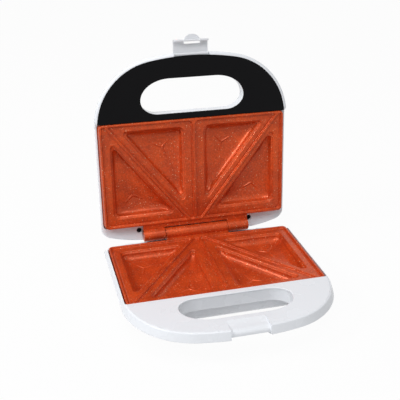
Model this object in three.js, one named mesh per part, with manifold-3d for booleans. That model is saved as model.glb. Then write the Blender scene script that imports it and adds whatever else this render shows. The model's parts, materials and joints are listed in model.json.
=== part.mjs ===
// Two-slice sandwich maker, standing open as in use.
// A base and a lid hold cast plates with triangular pockets. The plates carry the hinge,
// and a swinging latch on the lid's handle hooks under a lip on the base's handle.
// Lengths are millimetres. X is to the right, the handles face -Y and +Z is up.
// Both halves are drawn in one half frame: x across, s forward from the hinge axis and
// n up from the rim of the plate, so a point (x, s, n) has the coordinates (x, -s, n).

import * as THREE from 'three';
import * as BufferGeometryUtils from 'three/addons/utils/BufferGeometryUtils.js';
import Module from 'manifold-3d';

const wasm = await Module();
wasm.setup();

// Fits and cutting
const fit = 0.3;
const overrun = 6;
const mergeStep = 1e-4;

// Plates
const plateWidth = 220;
const plateDepth = 126;
const plateCornerRadius = 5;
const plateEdgeBevel = 0.8;
const plateWall = 2.5;
const skirtDepth = 10;
const skirtFlare = 1.4;
const rimWidth = 2.5;
const rimStep = 2;
const centreRidgeWidth = 3;
const diagonalRidgeWidth = 2.6;
const diagonalRearOffset = 8.4;
const diagonalFrontOffset = 5.1;
const cellCornerRadius = 5;
const cellTipRadius = 1.2;

// Pockets in the plates
const ledgeOuter = 9.5;
const ledgeRear = 9.8;
const ledgeFront = 7.7;
const ledgeInner = 11;
const ledgeDiagonalFront = 12;
const ledgeDiagonalRear = 10;
const pocketDepth = 12;
const pocketDish = 1.2;
const pocketDraft = 2.4;
const pocketFillet = 2.6;
const pocketCornerRadius = 6;
const pocketTipRadius = 3;
const rayLength = 11;
const rayWidth = 1.3;
const rayRise = 0.8;

// Hinge
const openAngle = 95.25;
const axisAboveRim = 1.9;
const closedGap = 0.3;
const hingeToPlate = 13.2;
const barrelRadius = 7.2;
const centreBarrelHalf = 38.5;
const knuckleGap = 0.5;
const knuckleWidth = 26;
const hingeWebTop = 1;
const hingeWebBottom = 7;
const bridgeGap = 1.2;
const hingePinRadius = 2.5;
const hingePinDepth = 12;
const knuckleRelief = 0.8;

// Casings
const casingSideBorder = 5;
const casingFrontBorder = 7.3;
const controlSpace = 14;
const casingWall = 2.5;
const rimDrop = 7.5;
const flangeThickness = 3.3;
const plateOpeningGap = 0.7;
const lidRearReach = 9.5;
const lidRearBow = 12.6;
const baseRearReach = 5;
const baseRearBow = 8;
const rearReliefDrop = 8.6;
const rearReliefMargin = 13;
const rearBowPower = 4;

// Bowl of a casing: shares of its depth, side insets and corner radii from rim to bottom
const bowlInset = 28;
const bowlRearInset = 12;
const bowlCornerMin = 6;
const bowlCornerMax = 44;
const bowlCornerPower = 0.7;
const bowlDepthShares = [0, 0.45, 0.68, 0.84, 0.96, 1];
const bowlInsetShares = [0.03, 0.14, 0.24, 0.42, 0.7, 1];

// Handles
const handleLength = 68.5;
const handleFrontRadius = 283.5;
const handleCornerRadius = 78;
const handleThickness = 16.5;
const handleBackRadius = 4;
const handleWall = 2.5;
const handleFloor = 2.5;
const handleUnderRun = 23;
const handleUnderAngles = [90, 62, 40, 20, 0];
const handleTopAngles = [45, 90];
const baseEdgeRun = 5.3;
const baseEdgeDrop = 4.4;
const lidEdgeRun = 3.2;
const lidEdgeDrop = 2.6;
const coverLedge = 1.3;
const baseDeckHeight = 0.9;
const lidDeckDrop = 1.5;
const deckGap = 0.5;
const slabOverlap = 7.5;
const openingSetback = 16.5;
const openingHalfLength = 61;
const openingFrontReach = 24;
const openingFrontRun = 34;
const openingRearReach = 16.4;
const openingRearRun = 21;
const openingWall = 2.5;
const openingFlare = 1.5;

// Handle covers
const coverThickness = 1.7;
const coverSeatDepth = 2;
const coverPostInset = 31;
const coverPostSetback = 52;
const coverPostRadius = 4;
const coverPillarRadius = 5.5;
const coverPillarHeight = 3;
const coverScrewBite = 6;

// Latch
const latchWidth = 40;
const latchSideGap = 0.6;
const latchPivotSetback = 3.4;
const latchPivotDepth = 7.6;
const latchBarrelRadius = 2;
const latchPinRadius = 0.9;
const latchPinSeat = 2.4;
const latchPlate = 1.8;
const hookReach = 5;
const hookThickness = 1.8;
const hookGap = 0.4;
const latchWindowWidth = 19;
const latchWindowLength = 3.4;
const latchTabHalf = 9.4;
const latchTabLength = 5.6;
const latchTabOffset = -1.9;
const latchTabSteps = 8;
const latchTabThickness = 1.8;

// Latch seat in the base handle and notch in the lid handle
const seatLength = 22;
const seatDrop = 2;
const lipThickness = 5.8;
const lipSetback = 3.6;
const undercutDepth = 14;
const frontBlockWall = 4;
const notchGap = 0.4;

// Screws
const screwShankRadius = 1.5;
const screwHeadRadius = 3;
const screwHeadHeight = 2;
const screwHeadDome = 0.7;
const screwTip = 1.2;
const screwBite = 7;
const headRecess = 1.2;

// Bosses under the plates, on the diagonal ridges
const bossRadius = 4;
const lowerBossLength = 10;
const bossRearShare = 0.12;
const bossFrontShare = 0.8;
const pillarRadius = 4.5;
const pillarFootRadius = 6;
const headSeatDepth = 6;

// Rear screws of the lid, beside the hinge
const rearScrewGap = 4;
const rearScrewS = 5.5;
const rearBoreRadius = 3.3;
const rearBossRadius = 5.2;
const rearBossDepth = 6;
const rearSeatDepth = 4;
const rearLugHeight = 6;
const rearLugHalfWidth = 6;

// Heating elements and reflectors
const elementRadius = 3.2;
const elementSideInset = 48;
const elementRearInset = 32.8;
const elementFrontInset = 33.2;
const elementCornerRadius = 16;
const elementEndGap = 24;
const elementPinRadius = 1.3;
const elementPinLength = 9;
const reflectorGap = 0.6;
const reflectorSheet = 1;
const reflectorLip = 7;
const reflectorSideInset = 7;
const reflectorRearInset = 6.8;
const reflectorFrontInset = 8.2;
const reflectorCornerRadius = 24;

// Controls inside the base
const thermostatWidth = 13;
const thermostatLength = 20;
const thermostatHeight = 8;
const thermostatCorner = 0.8;
const thermostatSetback = 63.2;
const fuseRadius = 2.4;
const fuseLength = 16;
const fuseSetback = 41.2;
const terminalWidth = 22;
const terminalLength = 11;
const terminalHeight = 8;
const terminalSetback = 5.8;
const terminalBoreRadius = 1.6;
const terminalPitch = 9;

// Cord gland in the rear wall of the base
const glandInset = 70;
const glandDrop = 25;
const glandRadius = 5.5;
const glandBoreRadius = 3.6;
const glandFlangeRadius = 7.6;
const glandFlange = 1.8;
const glandPadRadius = 9.5;
const glandPadProud = 1.6;
const glandPadDepth = 9;
const glandRibs = 2;
const glandRibHeight = 0.5;

// Feet
const footRadius = 7;
const footHeight = 5.2;
const footRecess = 1.2;
const footEdge = 0.8;
const footSideInset = 51;
const footRearInset = 5.8;
const footFrontInset = 35.2;

// Lamps in the lid
const lampX = 10;
const lampSetback = 33.2;
const lensRadius = 3.2;
const lensFlangeRadius = 4.4;
const lensFlange = 1;
const lensDome = 1.2;
const lensLength = 6;
const boardWidth = 40;
const boardLength = 14;
const boardSheet = 1.6;
const boardPostX = 17;
const boardPostRadius = 2.2;

// Facet counts
const cornerSteps = 4;
const tipSteps = 3;
const rearSteps = 8;
const handleCornerSteps = 8;
const handleBackSteps = 3;
const handleFrontSteps = 6;
const openingFrontSteps = 6;
const openingRearSteps = 4;
const barrelSides = 24;
const boreSides = 12;
const postSides = 12;
const screwSides = 8;
const footSides = 14;
const lensSides = 10;
const tubeSides = 6;
const tubeBendSteps = 3;

// Sizes that follow from the ones above
const quarterTurn = Math.PI / 2;
const plateFront = hingeToPlate + plateDepth;
const plateHalf = plateWidth / 2;
const casingHalfWidth = plateHalf + casingSideBorder;
const casingFront = plateFront + casingFrontBorder;
const handleApex = casingFront + handleLength;
const openingCentre = casingFront + openingSetback;
const coverPostX = casingHalfWidth - coverPostInset;
const coverPostS = handleApex - coverPostSetback;
const cellOuter = plateHalf - rimWidth;
const cellInner = centreRidgeWidth / 2;
const cellRear = hingeToPlate + rimWidth;
const cellFront = plateFront - rimWidth;
const diagonalRearX = diagonalRearOffset;
const diagonalFrontX = cellOuter - diagonalFrontOffset;
const webBottom = -rimStep - plateWall;
const pocketBottom = -pocketDepth - pocketDish - plateWall;
const elementLevel = pocketBottom - fit - elementRadius;
const reflectorTop = elementLevel - elementRadius - reflectorGap;
const reflectorBottom = reflectorTop - reflectorSheet;
const casingDepth = controlSpace - reflectorBottom;
const bowlHeight = casingDepth - rimDrop;
const hollowTop = -rimDrop - flangeThickness;
const deckBack = plateFront + deckGap;
const slabBack = casingFront - slabOverlap;
const latchHalf = latchWidth / 2;
const notchHalf = latchHalf + latchSideGap;
const latchPivotS = handleApex - latchPivotSetback;
const seatHalf = notchHalf;
const seatLevel = baseDeckHeight - seatDrop;
const lipBottom = seatLevel - lipThickness;
const lipFront = handleApex - lipSetback;
const hookLevel = latchPivotDepth + closedGap - lipBottom + hookGap;
const lidAxisAboveRim = axisAboveRim - closedGap;
const knuckleInner = centreBarrelHalf + knuckleGap;
const knuckleOuter = knuckleInner + knuckleWidth;
const rearReliefHalf = knuckleOuter + rearReliefMargin;
const rearScrewX = knuckleOuter + rearScrewGap;
const elementHalfWidth = plateHalf - elementSideInset;
const elementRear = hingeToPlate + elementRearInset;
const elementFront = plateFront - elementFrontInset;
const reflectorHalfWidth = plateHalf - reflectorSideInset;
const reflectorRear = hingeToPlate + reflectorRearInset;
const reflectorFront = plateFront - reflectorFrontInset;
const thermostatS = plateFront - thermostatSetback;
const fuseS = plateFront - fuseSetback;
const terminalS = hingeToPlate + terminalSetback;
const glandX = casingHalfWidth - glandInset;
const footX = casingHalfWidth - footSideInset;
const footRearS = hingeToPlate + footRearInset;
const footFrontS = plateFront - footFrontInset;
const lampS = plateFront - lampSetback;
const restHeight = casingDepth - footRecess + fit + footHeight;

// Flat outlines in the half frame

function at(x, s) {
  return new THREE.Vector2(x, -s);
}

// Corners rounded by arcs; the points run anticlockwise and each corner has its own radius.
function roundedPolygon(points, radii, steps) {
  const outline = [];
  points.forEach((corner, i) => {
    const before = points[(i + points.length - 1) % points.length];
    const after = points[(i + 1) % points.length];
    const toBefore = before.clone().sub(corner);
    const toAfter = after.clone().sub(corner);
    const room = Math.min(toBefore.length(), toAfter.length()) / 2;
    toBefore.normalize();
    toAfter.normalize();
    const half = Math.acos(THREE.MathUtils.clamp(toBefore.dot(toAfter), -1, 1)) / 2;
    const run = Math.min(radii[i] / Math.tan(half), room);
    const radius = run * Math.tan(half);
    const middle = toBefore.clone().add(toAfter).normalize();
    const centre = corner.clone().addScaledVector(middle, radius / Math.sin(half));
    const start = corner.clone().addScaledVector(toBefore, run);
    const turn = Math.PI - 2 * half;
    for (let k = 0; k <= steps; k += 1) {
      outline.push(start.clone().rotateAround(centre, (turn * k) / steps));
    }
  });
  return outline;
}

// Each edge of an anticlockwise polygon moved inwards by its own distance.
function insetPolygon(points, distances) {
  const lines = points.map((start, i) => {
    const end = points[(i + 1) % points.length];
    const along = end.clone().sub(start).normalize();
    const inward = new THREE.Vector2(-along.y, along.x);
    return { start: start.clone().addScaledVector(inward, distances[i]), along };
  });
  return lines.map((line, i) => {
    const previous = lines[(i + lines.length - 1) % lines.length];
    const gap = line.start.clone().sub(previous.start);
    const cross = previous.along.cross(line.along);
    const reach = gap.cross(line.along) / cross;
    return previous.start.clone().addScaledVector(previous.along, reach);
  });
}

function even(value, count) {
  return Array(count).fill(value);
}

function rectangle(xLow, xHigh, sRear, sFront) {
  return [at(xLow, sFront), at(xHigh, sFront), at(xHigh, sRear), at(xLow, sRear)];
}

function roundedRectangle(xLow, xHigh, sRear, sFront, radius) {
  return roundedPolygon(rectangle(xLow, xHigh, sRear, sFront), even(radius, 4), cornerSteps);
}

function circle(x, s, radius, sides) {
  const outline = [];
  for (let k = 0; k < sides; k += 1) {
    const angle = (2 * Math.PI * k) / sides;
    outline.push(at(x + radius * Math.cos(angle), s - radius * Math.sin(angle)));
  }
  return outline;
}

function mirrored(points) {
  return points.map((point) => new THREE.Vector2(-point.x, point.y)).reverse();
}

// Plan of a casing at one level: a rounded rectangle whose rear edge bows out.
function casingRing(casing, inset, rearInset, radius) {
  const half = casingHalfWidth - inset;
  const rear = -casing.rearReach + rearInset;
  const front = casingFront - inset;
  const rounded = roundedRectangle(-half, half, rear, front, radius);
  const cornerPoints = cornerSteps + 1;
  const rearRight = rounded[cornerPoints * 3 - 1];
  const rearLeft = rounded[cornerPoints * 3];
  const between = [];
  for (let k = 1; k < rearSteps; k += 1) {
    between.push(rearRight.clone().lerp(rearLeft, k / rearSteps));
  }
  const ring = [...rounded.slice(0, cornerPoints * 3), ...between, ...rounded.slice(cornerPoints * 3)];
  return ring.map((point) => {
    const across = Math.abs(point.x) / casingHalfWidth;
    const back = (point.y + front) / (front - rear);
    const bow = casing.rearBow * across ** rearBowPower * back ** 2;
    return new THREE.Vector2(point.x, point.y - bow);
  });
}

// Plan of a handle: straight sides, large corner arcs and a flat front arc, all tangent.
// It is closed by a straight edge at the back, on the sides or across the corner arcs,
// and the two corners at the back can be rounded.
function handleRing(inset, back, backRadius = 0) {
  const half = casingHalfWidth - inset;
  const frontCentre = handleApex - handleFrontRadius;
  const cornerX = casingHalfWidth - handleCornerRadius;
  const reach = handleFrontRadius - handleCornerRadius;
  const cornerS = frontCentre + Math.sqrt(reach ** 2 - cornerX ** 2);
  const tangent = Math.asin(cornerX / reach);
  const cornerRadius = handleCornerRadius - inset;
  const frontRadius = handleFrontRadius - inset;
  const start = Math.acos(THREE.MathUtils.clamp((back + backRadius - cornerS) / cornerRadius, 0, 1));
  const backX = cornerX + cornerRadius * Math.sin(start) - backRadius;
  const ring = [];
  const onBack = (side, angle) => at(
    side * (backX + backRadius * Math.sin(angle)), back + backRadius * (1 - Math.cos(angle)),
  );
  const roundBack = (side) => {
    const steps = backRadius > 0 ? handleBackSteps : 0;
    const angles = Array.from({ length: steps }, (unused, k) => (Math.PI / 2) * (k / steps));
    const points = angles.map((angle) => onBack(side, angle));
    ring.push(...(side < 0 ? points : points.reverse()));
  };
  const onCorner = (side, angle) => at(
    side * (cornerX + cornerRadius * Math.sin(angle)), cornerS + cornerRadius * Math.cos(angle),
  );
  roundBack(-1);
  if (back < cornerS) {
    ring.push(at(-half, back));
  }
  for (let k = 0; k <= handleCornerSteps; k += 1) {
    ring.push(onCorner(-1, start + ((tangent - start) * k) / handleCornerSteps));
  }
  for (let k = 1; k < handleFrontSteps; k += 1) {
    const angle = -tangent + (2 * tangent * k) / handleFrontSteps;
    ring.push(at(frontRadius * Math.sin(angle), frontCentre + frontRadius * Math.cos(angle)));
  }
  for (let k = 0; k <= handleCornerSteps; k += 1) {
    ring.push(onCorner(1, tangent + ((start - tangent) * k) / handleCornerSteps));
  }
  if (back < cornerS) {
    ring.push(at(half, back));
  }
  roundBack(1);
  return ring;
}

// Plan of a handle opening: straight in front and at the rear, joined by quarter ellipses that meet where
// the opening is widest, at a point that the second of them leaves to the first.
function openingRing(offset) {
  const ring = [];
  const quarter = (side, run, reach, steps, start, first) => {
    const centreX = side * (openingHalfLength - run);
    for (let k = first; k <= steps; k += 1) {
      const angle = start + (quarterTurn * k) / steps;
      ring.push(at(
        centreX + (run + offset) * Math.cos(angle), openingCentre - (reach + offset) * Math.sin(angle),
      ));
    }
  };
  quarter(1, openingFrontRun, openingFrontReach, openingFrontSteps, -quarterTurn, 0);
  quarter(1, openingRearRun, openingRearReach, openingRearSteps, 0, 1);
  quarter(-1, openingRearRun, openingRearReach, openingRearSteps, quarterTurn, 0);
  quarter(-1, openingFrontRun, openingFrontReach, openingFrontSteps, 2 * quarterTurn, 1);
  return ring;
}

// Solids

// A closed skin over rings with equal point counts, from the lowest to the highest.
// The lowest ring is closed flat, or by a fan to one apex point.
function loft(levels, apex = null) {
  const count = levels[0].ring.length;
  const positions = [];
  levels.forEach(({ ring, n }) => ring.forEach((point) => positions.push(point.x, point.y, n)));
  const faces = [];
  for (let i = 0; i + 1 < levels.length; i += 1) {
    for (let k = 0; k < count; k += 1) {
      const next = (k + 1) % count;
      const low = i * count;
      const high = low + count;
      faces.push(low + k, low + next, high + next);
      faces.push(low + k, high + next, high + k);
    }
  }
  const top = (levels.length - 1) * count;
  capFaces(levels[levels.length - 1].ring).forEach(([a, b, c]) => faces.push(top + a, top + b, top + c));
  if (apex) {
    positions.push(apex.x, apex.y, apex.z);
    const tip = levels.length * count;
    for (let k = 0; k < count; k += 1) {
      faces.push((k + 1) % count, k, tip);
    }
  } else {
    capFaces(levels[0].ring).forEach(([a, b, c]) => faces.push(a, c, b));
  }
  const geometry = new THREE.BufferGeometry();
  geometry.setAttribute('position', new THREE.Float32BufferAttribute(positions, 3));
  geometry.setIndex(faces);
  return solid(geometry);
}

function capFaces(ring) {
  return THREE.ShapeUtils.triangulateShape(ring, []).map(([a, b, c]) => {
    const first = ring[b].clone().sub(ring[a]);
    const second = ring[c].clone().sub(ring[a]);
    return first.cross(second) > 0 ? [a, b, c] : [a, c, b];
  });
}

function prism(ring, low, high) {
  return loft([{ ring, n: low }, { ring, n: high }]);
}

function solid(geometry) {
  const bare = geometry.clone();
  bare.deleteAttribute('normal');
  bare.deleteAttribute('uv');
  const merged = BufferGeometryUtils.mergeVertices(bare, mergeStep);
  return new wasm.Manifold(new wasm.Mesh({
    numProp: 3,
    vertProperties: new Float32Array(merged.attributes.position.array),
    triVerts: new Uint32Array(merged.index.array),
  }));
}

function geometryOf(body) {
  const mesh = body.getMesh();
  const geometry = new THREE.BufferGeometry();
  geometry.setAttribute('position', new THREE.BufferAttribute(mesh.vertProperties, 3));
  geometry.setIndex(new THREE.BufferAttribute(mesh.triVerts, 1));
  geometry.computeVertexNormals();
  return geometry;
}

function box(xLow, xHigh, sRear, sFront, low, high) {
  return prism(rectangle(xLow, xHigh, sRear, sFront), low, high);
}

function post(x, s, radius, low, high) {
  return prism(circle(x, s, radius, postSides), low, high);
}

function bore(x, s, radius, low, high) {
  return prism(circle(x, s, radius, boreSides), low, high);
}

// A round bar along X.
function crossBar(xLow, xHigh, s, n, radius, sides) {
  const geometry = new THREE.CylinderGeometry(radius, radius, xHigh - xLow, sides);
  geometry.rotateZ(Math.PI / 2);
  geometry.translate((xLow + xHigh) / 2, -s, n);
  return solid(geometry);
}

// A ring along X of outlines in the side plane, given as (s, n) pairs.
function sidePrism(profile, xLow, xHigh) {
  const shape = new THREE.Shape(profile.map(([s, n]) => new THREE.Vector2(s, n)));
  const geometry = new THREE.ExtrudeGeometry(shape, { depth: xHigh - xLow, bevelEnabled: false });
  const turn = new THREE.Matrix4().set(
    0, 0, 1, xLow,
    -1, 0, 0, 0,
    0, 1, 0, 0,
    0, 0, 0, 1,
  );
  geometry.applyMatrix4(turn);
  return solid(flipIfInside(geometry));
}

function flipIfInside(geometry) {
  const bare = geometry.index ? geometry.toNonIndexed() : geometry.clone();
  const points = bare.attributes.position;
  const a = new THREE.Vector3();
  const b = new THREE.Vector3();
  const c = new THREE.Vector3();
  let volume = 0;
  for (let i = 0; i < points.count; i += 3) {
    a.fromBufferAttribute(points, i);
    b.fromBufferAttribute(points, i + 1);
    c.fromBufferAttribute(points, i + 2);
    volume += a.dot(b.cross(c));
  }
  if (volume < 0) {
    for (let i = 0; i < points.count; i += 3) {
      b.fromBufferAttribute(points, i + 1);
      c.fromBufferAttribute(points, i + 2);
      points.setXYZ(i + 1, c.x, c.y, c.z);
      points.setXYZ(i + 2, b.x, b.y, b.z);
    }
  }
  return bare;
}

function bothSides(make) {
  return make(1).add(make(-1));
}

// Plates

function diagonalPoint(share) {
  return {
    x: diagonalRearX + (diagonalFrontX - diagonalRearX) * share,
    s: cellRear + (cellFront - cellRear) * share,
  };
}

// The shallow cells on the right half of a plate, either side of the diagonal ridge.
function cellOutlines() {
  const half = diagonalRidgeWidth / 2;
  const front = insetPolygon([
    at(cellInner, cellFront), at(diagonalFrontX, cellFront),
    at(diagonalRearX, cellRear), at(cellInner, cellRear),
  ], [0, half, 0, 0]);
  const rear = insetPolygon([
    at(diagonalFrontX, cellFront), at(cellOuter, cellFront),
    at(cellOuter, cellRear), at(diagonalRearX, cellRear),
  ], [0, 0, 0, half]);
  return [
    roundedPolygon(front, [cellCornerRadius, cellTipRadius, cellTipRadius, cellTipRadius], tipSteps),
    roundedPolygon(rear, [cellTipRadius, cellTipRadius, cellCornerRadius, cellTipRadius], tipSteps),
  ];
}

// Triangles of the deep pockets on the right half, sharp-cornered at the ledge.
function pocketTriangles() {
  const frontEdge = cellFront - ledgeFront;
  const innerEdge = cellInner + ledgeInner;
  const outerEdge = cellOuter - ledgeOuter;
  const rearEdge = cellRear + ledgeRear;
  const ridge = [at(diagonalFrontX, cellFront), at(diagonalRearX, cellRear)];
  const along = ridge[1].clone().sub(ridge[0]).normalize();
  const away = new THREE.Vector2(-along.y, along.x);
  const pointOnRidge = (offset, fixed) => {
    const start = ridge[0].clone().addScaledVector(away, offset);
    const reach = fixed.s === undefined ? (fixed.x - start.x) / along.x : (-fixed.s - start.y) / along.y;
    return start.clone().addScaledVector(along, reach);
  };
  const inwards = away.x < 0 ? 1 : -1;
  return [
    [
      at(innerEdge, frontEdge),
      pointOnRidge(inwards * ledgeDiagonalFront, { s: frontEdge }),
      pointOnRidge(inwards * ledgeDiagonalFront, { x: innerEdge }),
    ],
    [
      at(outerEdge, rearEdge),
      pointOnRidge(-inwards * ledgeDiagonalRear, { s: rearEdge }),
      pointOnRidge(-inwards * ledgeDiagonalRear, { x: outerEdge }),
    ],
  ];
}

function incentre(triangle) {
  const sides = triangle.map((corner, i) => triangle[(i + 1) % 3].distanceTo(triangle[(i + 2) % 3]));
  const total = sides[0] + sides[1] + sides[2];
  const centre = new THREE.Vector2(0, 0);
  triangle.forEach((corner, i) => centre.addScaledVector(corner, sides[i] / total));
  return centre;
}

// A pocket: drafted walls, a rounded foot and a floor of three facets that fall to its middle.
// The outside of the same pocket is its inside grown by the wall of the casting.
function pocket(triangle, growth) {
  const radii = [pocketCornerRadius, pocketTipRadius, pocketTipRadius].map((radius) => radius + growth);
  const ringAt = (inset) => roundedPolygon(insetPolygon(triangle, even(inset - growth, 3)), radii, tipSteps);
  const centre = incentre(triangle);
  const floor = -pocketDepth - growth;
  const top = growth > 0 ? webBottom + growth / 2 : overrun;
  return loft([
    { ring: ringAt(pocketDraft + pocketFillet), n: floor },
    { ring: ringAt(pocketDraft), n: floor + pocketFillet },
    { ring: ringAt(0), n: -rimStep },
    { ring: ringAt(0), n: Math.max(top, -rimStep + fit) },
  ], new THREE.Vector3(centre.x, centre.y, floor - pocketDish));
}

// Three low rays from the middle of a pocket towards its corners.
function star(triangle) {
  const centre = incentre(triangle);
  const top = -pocketDepth - pocketDish + rayRise;
  const rays = triangle.map((corner) => {
    const along = corner.clone().sub(centre).normalize();
    const across = new THREE.Vector2(-along.y, along.x).multiplyScalar(rayWidth / 2);
    const tip = centre.clone().addScaledVector(along, rayLength);
    return prism([
      centre.clone().sub(across), tip.clone().sub(across),
      tip.clone().add(across), centre.clone().add(across),
    ], top - overrun, top);
  });
  return rays[0].add(rays[1]).add(rays[2]);
}

// Arms of the hinge: round knuckles on the axis, joined to the rear wall by webs.
function hingeArm(xLow, xHigh, axis) {
  const reach = hingeToPlate + plateWall / 2;
  const knuckle = crossBar(xLow, xHigh, 0, axis, barrelRadius, barrelSides);
  return knuckle.add(box(xLow, xHigh, 0, reach, -hingeWebBottom, -hingeWebTop));
}

function bossPlaces() {
  const rear = diagonalPoint(bossRearShare);
  const front = diagonalPoint(bossFrontShare);
  return [rear, front, { x: -rear.x, s: rear.s }, { x: -front.x, s: front.s }];
}

function plateBody(axis, arms, bossEnd) {
  const outline = (inset, flare = 0) => roundedRectangle(
    -plateHalf + inset - flare, plateHalf - inset + flare,
    hingeToPlate + inset - flare, plateFront - inset,
    Math.max(plateCornerRadius - inset, cellTipRadius),
  );
  let body = loft([
    { ring: outline(0, skirtFlare), n: -skirtDepth },
    { ring: outline(0), n: -plateEdgeBevel },
    { ring: outline(plateEdgeBevel), n: 0 },
  ]);
  body = body.subtract(prism(outline(plateWall), -skirtDepth - overrun, webBottom));
  const triangles = pocketTriangles();
  const pockets = triangles.concat(triangles.map(mirrored).map(([a, b, c]) => [c, a, b]));
  pockets.forEach((triangle) => {
    body = body.add(pocket(triangle, plateWall));
  });
  bossPlaces().forEach(({ x, s }) => {
    body = body.add(post(x, s, bossRadius, bossEnd, webBottom + fit));
  });
  arms.forEach(([xLow, xHigh]) => {
    body = body.add(hingeArm(xLow, xHigh, axis));
  });
  cellOutlines().forEach((outlineOfCell) => {
    body = body.subtract(prism(outlineOfCell, -rimStep, overrun));
    body = body.subtract(prism(mirrored(outlineOfCell), -rimStep, overrun));
  });
  pockets.forEach((triangle) => {
    body = body.subtract(pocket(triangle, 0).subtract(star(triangle)));
  });
  bossPlaces().forEach(({ x, s }) => {
    body = body.subtract(bore(x, s, screwShankRadius + fit, bossEnd - overrun, bossEnd + screwBite + fit));
  });
  return body;
}

// The lower plate carries the long middle barrel, bored at both ends for the hinge pins.
function lowerPlate() {
  const body = plateBody(axisAboveRim, [[-centreBarrelHalf, centreBarrelHalf]], webBottom - lowerBossLength);
  const boreStart = centreBarrelHalf - hingePinDepth - fit;
  const pinBore = bothSides((side) => crossBar(
    Math.min(side * boreStart, side * (centreBarrelHalf + overrun)),
    Math.max(side * boreStart, side * (centreBarrelHalf + overrun)),
    0, axisAboveRim, hingePinRadius + fit, boreSides,
  ));
  return body.subtract(pinBore);
}

// The upper plate carries the two outer knuckles, the bridge between their webs and the lugs for the lid's
// rear screws.
function upperPlate() {
  const knuckles = [[knuckleInner, knuckleOuter], [-knuckleOuter, -knuckleInner]];
  let body = plateBody(-lidAxisAboveRim, knuckles, reflectorTop + fit);
  const bridge = box(
    -knuckleInner - fit, knuckleInner + fit,
    barrelRadius + bridgeGap, hingeToPlate + plateWall / 2, -hingeWebBottom, -hingeWebTop,
  );
  const lugTop = -rimDrop - rearBossDepth - fit;
  const lugBottom = lugTop - rearLugHeight;
  const lugs = bothSides((side) => box(
    side * rearScrewX - rearLugHalfWidth, side * rearScrewX + rearLugHalfWidth,
    rearScrewS - rearBossRadius, hingeToPlate + plateWall, lugBottom, lugTop,
  ));
  const braces = bothSides((side) => box(
    side * rearScrewX - rearLugHalfWidth, side * rearScrewX + rearLugHalfWidth,
    hingeToPlate, hingeToPlate + plateWall, lugBottom, -skirtDepth + fit,
  ));
  body = body.add(bridge).add(lugs).add(braces);
  const lugBores = bothSides((side) => bore(
    side * rearScrewX, rearScrewS, screwShankRadius + fit, lugBottom - overrun, lugTop + overrun,
  ));
  const pinBore = crossBar(
    -knuckleOuter - overrun, knuckleOuter + overrun, 0, -lidAxisAboveRim, hingePinRadius + fit, boreSides,
  );
  return body.subtract(lugBores).subtract(pinBore);
}

// Casings

// The bowl of a casing, or with a wall given the hollow inside that wall.
function bowl(casing, wall) {
  const levels = bowlDepthShares.map((share, i) => {
    const inset = bowlInset * bowlInsetShares[i] + wall;
    const rearInset = bowlRearInset * bowlInsetShares[i] + wall;
    const growth = bowlInsetShares[i] ** bowlCornerPower;
    const corner = bowlCornerMin + (bowlCornerMax - bowlCornerMin) * growth;
    return { ring: casingRing(casing, inset, rearInset, corner), n: -rimDrop - bowlHeight * share };
  }).reverse();
  if (wall > 0) {
    const hollow = levels.map((level, i) => ({
      ring: level.ring,
      n: i === 0 ? level.n + wall : Math.max(level.n, -casingDepth + wall + (i * wall) / levels.length),
    }));
    hollow[hollow.length - 1].n = hollowTop;
    return loft(hollow);
  }
  return loft(levels);
}

// Levels of a handle's rim: an elliptic underside, then a quarter ellipse up to the deck.
function handleLevels(casing, back, wall) {
  const underDrop = handleThickness - casing.edgeDrop;
  const least = wall > 0 ? casing.edgeRun + coverLedge : 0;
  const under = handleUnderAngles.map(THREE.MathUtils.degToRad).map((angle) => ({
    inset: handleUnderRun * (1 - Math.cos(angle)) + wall * Math.cos(angle),
    n: casing.deck - casing.edgeDrop - (underDrop - wall) * Math.sin(angle),
  }));
  const over = handleTopAngles.map(THREE.MathUtils.degToRad).map((angle) => ({
    inset: casing.edgeRun * (1 - Math.cos(angle)),
    n: casing.deck - casing.edgeDrop * (1 - Math.sin(angle)),
  }));
  const levels = wall > 0 ? [...under, { inset: 0, n: casing.deck + overrun }] : [...under, ...over];
  const backRadius = wall > 0 ? 0 : handleBackRadius;
  return levels.map(({ inset, n }) => ({ ring: handleRing(Math.max(inset, least), back, backRadius), n }));
}

function handleOpening(deck) {
  const bottom = deck - handleThickness;
  return loft([
    { ring: openingRing(openingFlare), n: bottom - overrun },
    { ring: openingRing(openingFlare), n: bottom },
    { ring: openingRing(0), n: bottom + openingFlare },
    { ring: openingRing(0), n: deck + overrun },
  ]);
}

function coverPosts(radius, low, high) {
  return bothSides((side) => post(side * coverPostX, coverPostS, radius, low, high));
}

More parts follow.
